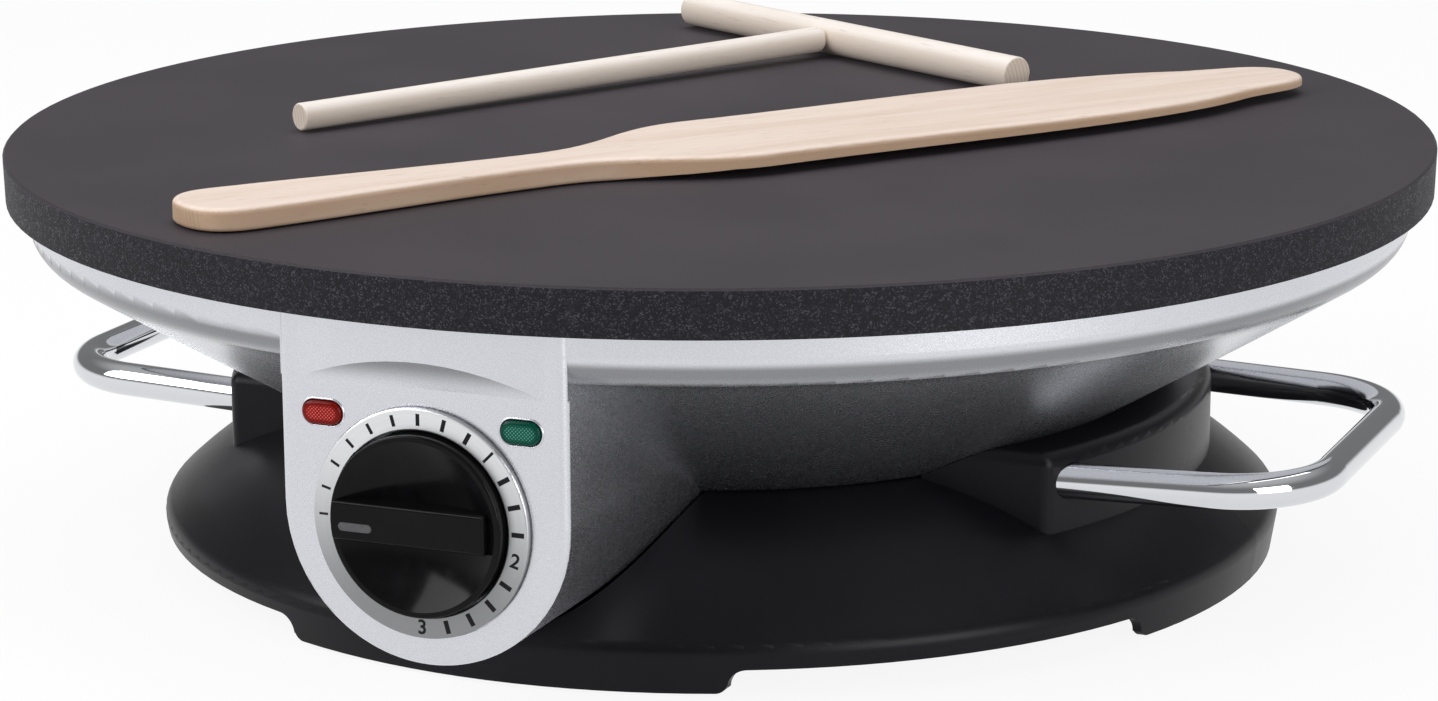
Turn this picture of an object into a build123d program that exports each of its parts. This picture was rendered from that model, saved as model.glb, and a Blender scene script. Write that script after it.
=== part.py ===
from build123d import *
from math import acos, atan, cos, degrees, hypot, radians, sin, sqrt, tan
import os

# Electric crepe maker. Origin on the plate's axis at the level of the bench, +Z up,
# control pod towards -Y, handles towards +X and -X. Millimetres and degrees.

# ---------------------------------------------------------------------------
# Driving dimensions
# ---------------------------------------------------------------------------

# Cast hotplate
plate_radius = 165.0
plate_rim_height = 10.5
plate_rim_draft = 0.3
plate_rim_wall = 4.0
plate_thickness = 5.0
plate_top_bevel = 0.5
plate_overhang = 5.3
rim_gap = 0.5

# Bowl housing
housing_wall = 2.2
band_height = 8.8
band_round = 7.5
bowl_depth = 42.7
bowl_foot_radius = 89.5
bowl_foot_round = 5.0
bowl_sag = 0.2
spill_lip_height = 3.0
spill_lip_wall = 1.2
spill_lip_inset = 1.2

# Control pod, part of the bowl housing
pod_half_width = 32.2
brow_stand = 2.4
pod_length = 73.6
pod_edge_round = 1.8
pod_corner_round = 5.0
brow_drop = 13.9
brow_angle = 22.0
dial_height = 42.1
pod_arc_height = 43.6
well_radius = 19.9
well_depth = 8.0
well_wall = 1.8

# Dial ring and knob
ring_inner = 19.6
ring_outer = 24.2
ring_thickness = 2.3
ring_sink = 0.7
ring_gap = 0.3
ring_edge_round = 0.4
knob_radius = 19.2
knob_proud = 2.7
knob_back_gap = 0.8
knob_wall = 1.5
knob_lip = 1.3
knob_edge_round = 0.5
knob_hub_radius = 5.6
scoop_depth = 5.0
scoop_skin = 1.5
bar_width = 8.4
bar_proud = 0.8
bar_skin = 2.0
bar_end_gap = 3.3
bar_edge_round = 0.8
pointer_length = 7.7
pointer_width = 1.9
pointer_depth = 0.5
pointer_inset = 2.2
pointer_drop = 1.2
pointer_gap = 0.05
pointer_sink = 0.1

# Thermostat behind the pod
shaft_radius = 3.0
shaft_flat = 1.2
shaft_fit = 0.05
shaft_in_body = 8.0
shaft_tip_gap = 0.8
spring_thickness = 0.4
spring_room = 0.3
spring_side_gap = 0.2
spring_seat = 0.02
thermostat_width = 36.0
thermostat_height = 32.0
thermostat_length = 21.0
thermostat_round = 2.0
thermostat_neck_radius = 4.2
thermostat_neck_inset = 0.2
thermostat_screw_pitch = 28.0
tab_width = 6.3
tab_length = 8.0
tab_thickness = 0.8
tab_pitch = 16.0

# Indicator lamps
lens_length = 8.7
lens_height = 4.8
lens_spread = 22.3
lens_rise = 21.0
lens_gap = 0.35
lens_proud = 1.0
lens_flange = 1.4
lens_flange_thickness = 1.2
holder_length = 15.0
neon_radius = 2.2
neon_length = 11.0
neon_gap = 0.3

# Base with feet and handle brackets
pad_proud = 0.8
pad_radius = 7.0
pad_thickness = 2.6
pad_fit = 0.1
foot_height = 5.4
foot_half_width = 51.0
foot_depth = 24.0
foot_setback = 1.5
foot_count = 4
foot_flare = 4.0
foot_edge_round = 2.6
foot_wall = 3.0
foot_edge_wall = 1.5
base_radius = 131.4
base_draft = 1.6
base_side = 4.4
base_shoulder_round = 4.0
base_height = 32.5
base_top_margin = 1.0
base_sag = 3.3
base_wall = 2.5
ledge_width = 3.0
ledge_thickness = 2.0
pod_gap = 0.8
bowl_gap = 0.3
bracket_setback = 16.4
bracket_depth = 24.0
bracket_half_width = 57.0
bracket_height = 40.5
bracket_round = 3.0
bracket_pocket_half_width = 43.0
bracket_wall = 3.0

# Base cover
cover_thickness = 2.4
cover_gap = 0.3
cover_screw_circle = 80.0
cover_post_radius = 4.5
vent_count = 24
vent_length = 18.0
vent_width = 3.0
vent_circle = 52.0

# Chromed handles
handle_rod_radius = 3.95
handle_root_spread = 50.5
handle_grip_spread = 45.0
handle_grip_stand = 38.8
handle_bend = 23.0
handle_height = 33.6
handle_socket_depth = 9.0
handle_fit = 0.1
handle_screw_sink = 4.0

# Plate carriers
tie_circle = 70.0
tie_count = 3
tie_first_angle = 30.0
plate_boss_radius = 7.0
tie_screw_radius = 2.4
tie_head_radius = 4.5
tie_head_height = 3.5
tie_grip = 10.0
screw_gap = 0.25
overcut = 1.0
spacer_radius = 6.0
shield_drop = 16.2
shield_radius = 148.0
shield_thickness = 0.8
shield_rim = 7.0

# Heating element
element_circle = 105.0
element_radius = 3.5
element_gap = 0.3
element_open_angle = 30.0
element_leg_bend = 9.0
element_leg_room = 8.0
element_bead_radius = 3.0
element_bead_length = 2.5
element_seat_width = 12.0
element_pin_radius = 1.6
element_pin_length = 9.0
clamp_count = 4
clamp_first_angle = 45.0
clamp_width = 14.0
clamp_length = 30.0
clamp_thickness = 1.2
clamp_boss_radius = 5.0
clamp_boss_inset = 14.0

# Small screws
small_screw_radius = 1.45
small_head_radius = 2.8
small_head_height = 1.8
small_screw_length = 9.0

# Sensor, fuse and terminal block
bulb_radius = 3.0
bulb_length = 46.0
bulb_x = 24.0
bulb_y = -50.0
capillary_radius = 0.8
capillary_reach = 12.0
capillary_bend = 4.0
capillary_overlap = 0.5
fuse_radius = 3.2
fuse_length = 22.0
fuse_lead_radius = 0.6
fuse_lead_length = 8.0
fuse_x = -30.0
fuse_y = 42.0
strap_width = 6.0
strap_thickness = 0.8
strap_foot = 7.0
strap_slack = 0.2
clip_screw_radius = 1.0
clip_head_radius = 2.2
clip_head_height = 1.4
block_width = 32.0
block_depth = 17.0
block_height = 15.0
block_y = 62.0
block_pitch = 9.5
block_bore_radius = 2.2
block_bore_height = 6.0
block_round = 1.5
block_screw_well = 4.0
block_screw_height = 2.5
block_screw_gap = 0.2

# Insulated leads inside the housing
lead_radius = 1.2
lead_bend = 5.0
lead_end_gap = 0.2
lead_stub = 14.0
lead_lift = 2.0
lead_aisle = 8.0
lead_rise_inset = 12.0

# Cord gland at the back
gland_height = 49.0
gland_boss_radius = 11.0
gland_boss_stand = 1.5
gland_neck_radius = 5.6
gland_flange_radius = 8.2
gland_flange = 2.4
gland_bore_radius = 3.6
gland_gap = 0.1
gland_lip_inset = 1.0

# Wooden spreader and spatula, lying on the plate
tool_gap = 0.3
spreader_bar_radius = 4.3
spreader_bar_length = 128.0
spreader_bar_offset = 6.0
spreader_handle_radius = 3.25
spreader_tenon_radius = 2.4
spreader_handle_length = 161.0
spreader_x = -11.0
spreader_y = 101.5
spreader_angle = 60.8
wood_edge_round = 0.5
spreader_neck_round = 1.4
spreader_neck_gap = 0.1
spreader_tenon_fit = 0.02
spatula_x = -63.3
spatula_y = -141.2
spatula_angle = 54.1
spatula_length = 295.6
spatula_thickness = 5.0
spatula_tip_fall = 0.9
spatula_carve = 1.8
spatula_carve_at = 98.0
spatula_carve_end = 124.0
spatula_butt_width = 23.6
spatula_waist_width = 13.6
spatula_waist_at = 87.4
spatula_blade_width = 42.4
spatula_blade_at = 134.4
spatula_nose_width = 29.0
spatula_nose_length = 26.0
spatula_edge_round = 1.3

# ---------------------------------------------------------------------------
# Levels and places that follow from the sizes above
# ---------------------------------------------------------------------------

foot_z = pad_proud
skirt_z = foot_z + foot_height
shoulder_z = skirt_z + base_side
base_top_z = foot_z + base_height
ledge_z = skirt_z + cover_thickness
bracket_top_z = foot_z + bracket_height
handle_z = foot_z + handle_height
dial_z = foot_z + dial_height
pod_arc_z = foot_z + pod_arc_height
gland_z = foot_z + gland_height

band_radius = plate_radius - plate_overhang
pod_front = band_radius - brow_stand
pod_back = pod_front - pod_length
base_top_radius = bowl_foot_radius + base_top_margin
bracket_radius = base_radius - bracket_setback
bracket_inner = bracket_radius - bracket_depth
band_bottom_z = base_top_z + bowl_depth
band_top_z = band_bottom_z + band_height
rim_bottom_z = band_top_z + rim_gap
plate_top_z = rim_bottom_z + plate_rim_height
plate_under_z = plate_top_z - plate_thickness
brow_z = band_top_z - brow_drop

housing_floor_z = base_top_z + housing_wall
shield_top_z = plate_under_z - shield_drop
shield_bottom_z = shield_top_z - shield_thickness
base_ceiling_z = base_top_z - base_wall
element_z = plate_under_z - element_radius - element_gap

face_y = -pod_front
well_floor_y = face_y + well_depth
ring_face_y = face_y - ring_thickness + ring_sink
knob_face_y = ring_face_y - knob_proud
knob_back_y = well_floor_y - knob_back_gap
thermostat_front_y = well_floor_y + well_wall
inside_front_y = face_y + housing_wall
lens_z = dial_z + lens_rise
pointer_x = -(knob_radius - pointer_inset - pointer_length / 2)
pointer_z = dial_z - pointer_drop
bar_face_y = knob_face_y - bar_proud
hub_front_y = knob_face_y + bar_skin
shaft_front_y = hub_front_y + shaft_tip_gap

clamp_top_z = element_z - element_radius - element_gap
tie_length = shield_top_z + tie_grip - base_ceiling_z
capillary_y = bulb_y - bulb_length / 2 - capillary_reach
foot_inner_radius = base_radius - foot_depth
cover_radius = foot_inner_radius - foot_setback
bracket_face_x = sqrt(bracket_radius ** 2 - handle_root_spread ** 2)
handle_grip_reach = bracket_radius + handle_grip_stand
handle_lean = atan((handle_root_spread - handle_grip_spread) / (handle_grip_reach - bracket_face_x))
handle_end_x = bracket_face_x - handle_socket_depth * cos(handle_lean)
handle_end_y = handle_root_spread + handle_socket_depth * sin(handle_lean)
handle_screw_x = (handle_end_x + bracket_face_x) / 2
handle_screw_y = (handle_end_y + handle_root_spread) / 2
handle_screw_seat_z = shoulder_z + handle_screw_sink
bar_z = plate_top_z + tool_gap + spreader_bar_radius

bowl_slope = (band_radius - bowl_foot_radius) / bowl_depth
element_leg_radius = hypot(element_circle, element_leg_bend)
element_floor_z = housing_floor_z + (element_leg_radius - bowl_foot_radius + bowl_sag) / bowl_slope
element_pin_z = element_floor_z + element_leg_room
element_leg_end_z = element_pin_z + element_pin_length + element_bead_length
element_leg_drop = element_z - element_leg_end_z
gland_foot_radius = bowl_foot_radius + bowl_slope * (gland_z - gland_flange_radius - base_top_z)
gland_head_radius = bowl_foot_radius + bowl_slope * (gland_z + gland_flange_radius - base_top_z)
gland_inside_y = gland_foot_radius - 3 * housing_wall
gland_boss_reach = gland_head_radius + bowl_sag + gland_boss_stand

up = (Align.CENTER, Align.CENTER, Align.MIN)


# ---------------------------------------------------------------------------
# Small builders
# ---------------------------------------------------------------------------

def upright(radius, bottom, top, x=0.0, y=0.0):
    """A cylinder that stands between two heights."""
    return Pos(x, y, bottom) * Cylinder(radius, top - bottom, align=up)


def level(radius, front, back, x=0.0, z=0.0):
    """A cylinder that lies along Y between two places."""
    return Pos(x, front, z) * Rot(-90, 0, 0) * Cylinder(radius, back - front, align=up)


def tube(outer, inner, bottom, top, x=0.0, y=0.0):
    return upright(outer, bottom, top, x, y) - upright(inner, bottom, top, x, y)


def turned(outline):
    """A closed outline of (radius, height) turned round the plate's axis."""
    return revolve(Plane.XZ * make_face(outline), Axis.Z)


def around(count, radius, first=0.0):
    """Places evenly spaced on a circle, as (x, y, angle)."""
    steps = [first + 360 * k / count for k in range(count)]
    return [(radius * cos(radians(a)), radius * sin(radians(a)), a) for a in steps]


def screw_up(shank, length, head, head_height, x, y, seat_z):
    """A pan head screw driven upwards, with its head under seat_z."""
    shaft = upright(shank, seat_z, seat_z + length, x, y)
    return shaft + upright(head, seat_z - head_height, seat_z, x, y)


def on_face(sketch, x, z, y):
    """A flat outline stood up in the plane of the pod's face, looking towards -Y."""
    return Pos(x, y, z) * (Plane.XZ * sketch)


def toward_back(sketch, x, z, front, depth):
    return extrude(on_face(sketch, x, z, front), amount=depth, dir=(0, 1, 0))


# ---------------------------------------------------------------------------
# Hotplate, element and what carries them
# ---------------------------------------------------------------------------

tie_places = around(tie_count, tie_circle, tie_first_angle)
clamp_places = around(clamp_count, element_circle - clamp_boss_inset, clamp_first_angle)
post_places = around(foot_count, cover_screw_circle, 180 / foot_count)
foot_places = around(foot_count, base_radius - foot_depth / 2)


def cooking_plate():
    rim_radius = plate_radius - plate_rim_draft
    skirt_inner = rim_radius - plate_rim_wall
    outline = Polyline(
        (0, plate_under_z),
        (skirt_inner, plate_under_z),
        (skirt_inner, rim_bottom_z),
        (rim_radius, rim_bottom_z),
        (plate_radius, plate_top_z - plate_top_bevel),
        (plate_radius - plate_top_bevel, plate_top_z),
        (0, plate_top_z),
        close=True,
    )
    plate = turned(outline)
    seat_outer = element_circle + element_seat_width / 2
    seat_inner = element_circle - element_seat_width / 2
    plate += tube(seat_outer, seat_inner, element_z, plate_under_z)
    plate -= Pos(0, 0, element_z) * Torus(element_circle, element_radius + element_gap)
    for x, y, _ in tie_places:
        plate += upright(plate_boss_radius, shield_top_z, plate_under_z, x, y)
        hole_top = base_ceiling_z + tie_length + screw_gap
        plate -= upright(tie_screw_radius + screw_gap, shield_top_z, hole_top, x, y)
    for x, y, _ in clamp_places:
        plate += upright(clamp_boss_radius, clamp_top_z, plate_under_z, x, y)
        hole_top = clamp_top_z + small_screw_length
        plate -= upright(small_screw_radius + screw_gap, clamp_top_z, hole_top, x, y)
    return plate


def heating_element():
    """One turn of tube whose two ends turn down at the back."""
    turn = 360 - element_open_angle
    start = 90 + element_open_angle / 2
    section = Pos(element_circle, 0, element_z) * (Plane.XZ * Circle(element_radius))
    coil = Rot(0, 0, start) * revolve(section, Axis.Z, turn)
    for side in (1, -1):
        coil += element_end(side, element_radius, 0)
    return coil


def element_end(side, radius, extra):
    """The bend and the straight leg at one end of the element's turn."""
    bend = element_leg_bend
    face = Pos(element_circle, 0, 0) * (Plane.XZ * Circle(radius))
    hinge = Axis((element_circle, 0, -bend), (-side, 0, 0))
    piece = revolve(face, hinge, 90)
    leg = Pos(element_circle, side * bend, -element_leg_drop) * Cylinder(
        radius, element_leg_drop - bend, align=up
    )
    turn = 90 - side * element_open_angle / 2
    return Pos(0, 0, element_z) * Rot(0, 0, turn) * (piece + leg)


def element_leg_place(side):
    turn = radians(90 - side * element_open_angle / 2)
    x = element_circle * cos(turn) - side * element_leg_bend * sin(turn)
    y = element_circle * sin(turn) + side * element_leg_bend * cos(turn)
    return x, y


def element_terminals():
    """The two pins that stand out of the element's cold ends."""
    pins = []
    bead_z = element_pin_z + element_pin_length
    for side in (1, -1):
        x, y = element_leg_place(side)
        bead = upright(element_bead_radius, bead_z, element_leg_end_z, x, y)
        pins.append(bead + upright(element_pin_radius, element_pin_z, bead_z, x, y))
    return pins


def element_clamps():
    clamps = []
    for _, _, angle in clamp_places:
        strip = Pos(element_circle - clamp_boss_inset / 2, 0, clamp_top_z - clamp_thickness) * Box(
            clamp_length, clamp_width, clamp_thickness, align=up
        )
        strip = fillet(strip.edges().filter_by(Axis.Z), clamp_width / 5)
        hole_x = element_circle - clamp_boss_inset
        strip -= upright(
            small_screw_radius + screw_gap, clamp_top_z - clamp_thickness, clamp_top_z, hole_x
        )
        clamps.append(Rot(0, 0, angle) * strip)
    return clamps


def clamp_screws():
    seat = clamp_top_z - clamp_thickness
    return [
        screw_up(small_screw_radius, small_screw_length, small_head_radius, small_head_height, x, y, seat)
        for x, y, _ in clamp_places
    ]


def heat_shield():
    pan = upright(shield_radius, shield_bottom_z, shield_bottom_z + shield_rim)
    pan -= upright(shield_radius - shield_thickness, shield_top_z, shield_bottom_z + shield_rim)
    for x, y, _ in tie_places:
        pan -= upright(tie_screw_radius + screw_gap, shield_bottom_z, shield_top_z, x, y)
    for side in (1, -1):
        x, y = element_leg_place(side)
        pan -= upright(element_radius * 2, shield_bottom_z, shield_top_z, x, y)
    pan -= upright(capillary_radius * 4, shield_bottom_z, shield_top_z, bulb_x, capillary_y)
    return pan


def plate_spacers():
    return [
        tube(spacer_radius, tie_screw_radius + screw_gap, housing_floor_z, shield_bottom_z, x, y)
        for x, y, _ in tie_places
    ]


def tie_screws():
    return [
        screw_up(tie_screw_radius, tie_length, tie_head_radius, tie_head_height, x, y, base_ceiling_z)
        for x, y, _ in tie_places
    ]


# ---------------------------------------------------------------------------
# Bowl housing with the control pod
# ---------------------------------------------------------------------------

def bowl_form(inset, top):
    """The bowl and its band, drawn in from the outer skin by inset."""
    foot = bowl_foot_radius - inset / 2
    band = band_radius - inset
    floor = base_top_z + inset
    lower = Line((0, floor), (foot, floor))
    side = SagittaArc((foot, floor), (band, band_bottom_z + inset / 4), -bowl_sag)
    wall = Line((band, band_bottom_z + inset / 4), (band, top))
    lid = Line((band, top), (0, top))
    axis = Line((0, top), (0, floor))
    face = make_face(lower + side + wall + lid + axis)
    bottom = face.vertices().sort_by(Axis.Y)[0:2].sort_by(Axis.X)[-1]
    face = fillet(bottom, bowl_foot_round)
    corner = face.vertices().filter_by_position(Axis.X, band - 0.01, band + 0.01).sort_by(Axis.Y)[0]
    face = fillet(corner, band_round)
    return revolve(Plane.XZ * face, Axis.Z)


def pod_outline(inset):
    """A U shape, round at the bottom, that runs up to the band's top edge."""
    radius = pod_half_width - inset
    arc = Circle(radius)
    height = band_top_z - pod_arc_z
    shaft = Pos(0, height / 2) * Rectangle(2 * radius, height)
    return arc + shaft


def pod_form():
    pod = toward_back(pod_outline(0), 0, pod_arc_z, face_y, pod_front - pod_back)
    front = pod.edges().filter_by_position(Axis.Y, face_y - 0.01, face_y + 0.01)
    outline = front.filter_by(lambda edge: edge.center().Z < band_top_z - 0.01)
    return fillet(outline, pod_edge_round)


def pod_corners():
    """The hollow curves that lead the band's lower edge into the pod's flanks."""
    top = band_bottom_z + band_round
    size = pod_corner_round
    corners = []
    for side in (1, -1):
        web = Pos(side * size / 2, top - size / 2) * Rectangle(size, size)
        web -= Pos(side * size, top - size) * Circle(size)
        block = toward_back(web, side * pod_half_width, 0, -band_radius, 2 * pod_corner_round)
        corners.append(block & upright(band_radius, brow_z, band_top_z))
    return corners


def brow_wedge():
    """What is cut away below the sloping brow over the pod's flat face."""
    reach = 5 * brow_stand
    rise = reach / tan(radians(brow_angle))
    outline = Polyline(
        (face_y, brow_z),
        (face_y - reach, brow_z + rise),
        (face_y - reach, brow_z - reach),
        (face_y, brow_z - reach),
        close=True,
    )
    side_face = Plane.YZ * make_face(outline)
    return extrude(side_face, amount=pod_half_width, both=True)


def brow_form():
    """The band's bulge carried down over the pod as far as the brow."""
    bulge = upright(band_radius, brow_z, band_top_z)
    depth = band_radius - pod_front
    window = Pos(0, -band_radius + depth, brow_z) * Box(
        2 * pod_half_width, 2 * depth, band_top_z - brow_z, align=up
    )
    return bulge & window


def lens_window(grow):
    return SlotOverall(lens_length + 2 * grow, lens_height + 2 * grow)


def bowl_housing():
    outer = bowl_form(0, band_top_z) + brow_form() - brow_wedge()
    outer += pod_form()
    for corner in pod_corners():
        outer += corner
    outer += level(gland_boss_radius, 0, gland_boss_reach, 0, gland_z)
    inner = bowl_form(housing_wall, band_top_z)
    inner += toward_back(
        pod_outline(housing_wall), 0, pod_arc_z, inside_front_y, pod_front - pod_back - 2 * housing_wall
    )
    well_back_y = well_floor_y + well_wall
    shell = outer - inner
    shell += level(well_radius + well_wall, face_y + overcut, well_back_y, 0, dial_z)
    shell += level(gland_boss_radius, gland_inside_y, gland_boss_reach, 0, gland_z)
    shell -= level(well_radius, face_y - overcut, well_floor_y, 0, dial_z)
    shell -= level(ring_outer + ring_gap, face_y - overcut, face_y + ring_sink, 0, dial_z)
    shell -= level(thermostat_neck_radius + screw_gap, face_y, well_back_y, 0, dial_z)
    for side in (1, -1):
        x = side * thermostat_screw_pitch / 2
        shell -= level(small_screw_radius + screw_gap, face_y, well_back_y, x, dial_z)
        window = toward_back(
            lens_window(lens_gap),
            side * lens_spread,
            lens_z,
            face_y - overcut,
            housing_wall + 2 * overcut,
        )
        shell -= window
    shell -= level(gland_neck_radius + gland_gap, 0, gland_boss_reach, 0, gland_z)
    for x, y, _ in tie_places:
        shell -= upright(tie_screw_radius + screw_gap, base_top_z, housing_floor_z, x, y)
    lip_outer = band_radius - spill_lip_inset
    shell += tube(lip_outer, lip_outer - spill_lip_wall, band_top_z, band_top_z + spill_lip_height)
    return shell


# ---------------------------------------------------------------------------
# Dial, knob and thermostat
# ---------------------------------------------------------------------------

def dial_ring():
    ring = level(ring_outer, ring_face_y, face_y + ring_sink, 0, dial_z)
    ring -= level(ring_inner, ring_face_y, face_y + ring_sink, 0, dial_z)
    rims = ring.edges().filter_by_position(Axis.Y, ring_face_y - 0.01, ring_face_y + 0.01)
    return fillet(rims, ring_edge_round)


def knob_body():
    knob = level(knob_radius, knob_face_y, knob_back_y, 0, dial_z)
    rim = knob.edges().filter_by_position(Axis.Y, knob_face_y - 0.01, knob_face_y + 0.01)
    knob = fillet(rim, knob_edge_round)
    dish_radius = knob_radius - knob_lip
    dish = (dish_radius ** 2 + scoop_depth ** 2) / (2 * scoop_depth)
    knob -= Pos(0, knob_face_y + scoop_depth - dish, dial_z) * Sphere(dish)
    knob += knob_bar()
    scoop_y = knob_face_y + scoop_depth + scoop_skin
    knob -= level(knob_radius - knob_wall, scoop_y, knob_back_y, 0, dial_z)
    knob += level(knob_hub_radius, scoop_y - scoop_skin / 2, knob_back_y, 0, dial_z)
    knob -= hub_bore()
    slot = SlotOverall(pointer_length, pointer_width)
    knob -= toward_back(slot, pointer_x, pointer_z, bar_face_y, pointer_depth)
    return knob


def knob_bar():
    """The raised grip across the knob, from the rim to just short of it."""
    right = knob_radius - bar_end_gap
    left = knob_radius - knob_lip / 2
    length = left + right
    bar = Pos((right - left) / 2, bar_face_y, dial_z) * Rot(-90, 0, 0) * Box(
        length, bar_width, bar_proud + scoop_depth + scoop_skin / 2, align=up
    )
    top = bar.edges().filter_by_position(Axis.Y, bar_face_y - 0.01, bar_face_y + 0.01)
    top = top.filter_by(lambda edge: edge.center().X > -left + 0.01)
    bar = fillet(top, bar_edge_round)
    return bar & level(knob_radius - knob_lip / 2, bar_face_y, knob_back_y, 0, dial_z)


def knob_pointer():
    slot = SlotOverall(pointer_length - 2 * pointer_gap, pointer_width - 2 * pointer_gap)
    front = bar_face_y + pointer_sink
    return toward_back(slot, pointer_x, pointer_z, front, pointer_depth - pointer_sink)


def shaft_section(grow, flat):
    """A round bar with one flat, as seen along the shaft."""
    keep = Pos(0, flat - shaft_radius) * Rectangle(4 * shaft_radius, 2 * shaft_radius)
    return Circle(shaft_radius + grow) & keep


def hub_bore():
    section = shaft_section(shaft_fit, shaft_flat + spring_thickness + spring_room)
    return toward_back(section, 0, dial_z, hub_front_y, knob_back_y - hub_front_y)


def thermostat_shaft():
    """Round where it turns in the thermostat, flatted where the knob grips it."""
    flatted = toward_back(
        shaft_section(0, shaft_flat), 0, dial_z, shaft_front_y, knob_back_y - shaft_front_y
    )
    plain = level(shaft_radius, knob_back_y, thermostat_front_y + shaft_in_body, 0, dial_z)
    return flatted + plain


def knob_spring():
    """The leaf between the shaft's flat and the hub."""
    low = dial_z + shaft_flat
    half = sqrt(shaft_radius ** 2 - (shaft_flat + spring_thickness) ** 2) - spring_side_gap
    length = knob_back_y - shaft_front_y - 2 * shaft_tip_gap
    return Pos(0, (shaft_front_y + knob_back_y) / 2, low + spring_seat) * Box(
        2 * half, length, spring_thickness, align=up
    )


def thermostat_body():
    body = Pos(0, thermostat_front_y, dial_z) * Rot(-90, 0, 0) * Box(
        thermostat_width, thermostat_height, thermostat_length, align=up
    )
    body = fillet(body.edges().filter_by(Axis.Y), thermostat_round)
    neck_y = well_floor_y + thermostat_neck_inset
    body += level(thermostat_neck_radius, neck_y, thermostat_front_y, 0, dial_z)
    bore_end = thermostat_front_y + shaft_in_body + shaft_tip_gap
    body -= level(shaft_radius + shaft_fit, well_floor_y, bore_end, 0, dial_z)
    for side in (1, -1):
        x = side * thermostat_screw_pitch / 2
        hole_end = thermostat_front_y + small_screw_length
        body -= level(small_screw_radius + screw_gap / 2, thermostat_front_y, hole_end, x, dial_z)
    return body


def thermostat_screws():
    screws = []
    for side in (1, -1):
        x = side * thermostat_screw_pitch / 2
        head = level(small_head_radius, well_floor_y - small_head_height, well_floor_y, x, dial_z)
        end = well_floor_y + small_screw_length
        screws.append(head + level(small_screw_radius, well_floor_y, end, x, dial_z))
    return screws


def thermostat_terminals():
    back = thermostat_front_y + thermostat_length
    tabs = []
    for side in (1, -1):
        tab = Pos(side * tab_pitch / 2, back + tab_length / 2, dial_z) * Box(
            tab_thickness, tab_length, tab_width
        )
        tabs.append(tab)
    return tabs


# ---------------------------------------------------------------------------
# Indicator lamps
# ---------------------------------------------------------------------------

def indicator_lens(side):
    x = side * lens_spread
    front = face_y - lens_proud
    head = toward_back(lens_window(0), x, lens_z, front, inside_front_y - front)
    tip = head.edges().filter_by_position(Axis.Y, front - 0.01, front + 0.01)
    head = fillet(tip, lens_proud * 1.5)
    flange = toward_back(
        lens_window(lens_flange), x, lens_z, inside_front_y, lens_flange_thickness
    )
    return head + flange


def lamp_holders():
    front = inside_front_y + lens_flange_thickness
    holders = []
    bore_end = front + neon_length + 3 * neon_gap
    for side in (1, -1):
        sleeve = toward_back(lens_window(lens_flange), side * lens_spread, lens_z, front, holder_length)
        bore = level(neon_radius + neon_gap, front, bore_end, side * lens_spread, lens_z)
        holders.append(sleeve - bore)
    return holders


def neon_lamps():
    front = inside_front_y + lens_flange_thickness + neon_gap
    lamps = []
    for side in (1, -1):
        lamp = level(neon_radius, front, front + neon_length, side * lens_spread, lens_z)
        tip = lamp.edges().filter_by_position(Axis.Y, front - 0.01, front + 0.01)
        lamps.append(fillet(tip, neon_radius * 0.8))
    return lamps


# ---------------------------------------------------------------------------
# Base, cover, feet and handles
# ---------------------------------------------------------------------------

def base_form():
    """The black base as a solid: feet, side wall, shoulder and dome."""
    foot_radius = base_radius - base_draft
    wall_top = base_radius - foot_wall
    wall_foot = foot_radius - foot_edge_wall
    outline = (
        Line((0, skirt_z), (wall_top, skirt_z))
        + Line((wall_top, skirt_z), (wall_foot, foot_z))
        + Line((wall_foot, foot_z), (foot_radius, foot_z))
        + Line((foot_radius, foot_z), (base_radius, shoulder_z))
        + SagittaArc((base_radius, shoulder_z), (base_top_radius, base_top_z), -base_sag)
        + Line((base_top_radius, base_top_z), (0, base_top_z))
        + Line((0, base_top_z), (0, skirt_z))
    )
    face = make_face(outline)
    shoulder = face.vertices().filter_by_position(Axis.X, base_radius - 0.01, base_radius + 0.01)
    face = fillet(shoulder.sort_by(Axis.Y)[-1], base_shoulder_round)
    solid = revolve(Plane.XZ * face, Axis.Z) - foot_arches()
    for x, y, _ in foot_places:
        solid += upright(pad_radius + foot_wall, foot_z, ledge_z, x, y)
    return solid


def base_hollow():
    edge = base_radius - 1.3 * base_wall
    top = base_top_radius - base_wall / 2
    outline = (
        Line((0, ledge_z), (edge, ledge_z))
        + SagittaArc((edge, ledge_z), (top, base_ceiling_z), -base_sag)
        + Line((top, base_ceiling_z), (0, base_ceiling_z))
        + Line((0, base_ceiling_z), (0, ledge_z))
    )
    hollow = turned(outline)
    floor = ledge_z + ledge_thickness
    rim = cover_radius - ledge_width
    ledge = upright(base_radius, ledge_z, floor) - upright(rim, ledge_z, floor)
    return hollow - ledge


def foot_arches():
    """What is cut out of the skirt between the feet, whose ends are curved."""
    half = foot_half_width
    flare = foot_flare
    outline = Pos(0, (foot_z + skirt_z) / 2) * Rectangle(2 * half, skirt_z - foot_z)
    low = outline.vertices().sort_by(Axis.Y)[0:2]
    outline = fillet(low, foot_edge_round)
    for side in (1, -1):
        web = Pos(side * (half + flare / 2), skirt_z - flare / 2) * Rectangle(flare, flare)
        web -= Pos(side * (half + flare), skirt_z - flare) * Circle(flare)
        outline += web
    reach = base_radius + overcut
    feet = extrude(Plane.XZ * outline, amount=reach, both=True)
    ring = tube(reach, base_radius - foot_wall - overcut, foot_z - overcut, skirt_z)
    return ring - feet - Rot(0, 0, 90) * feet


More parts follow.
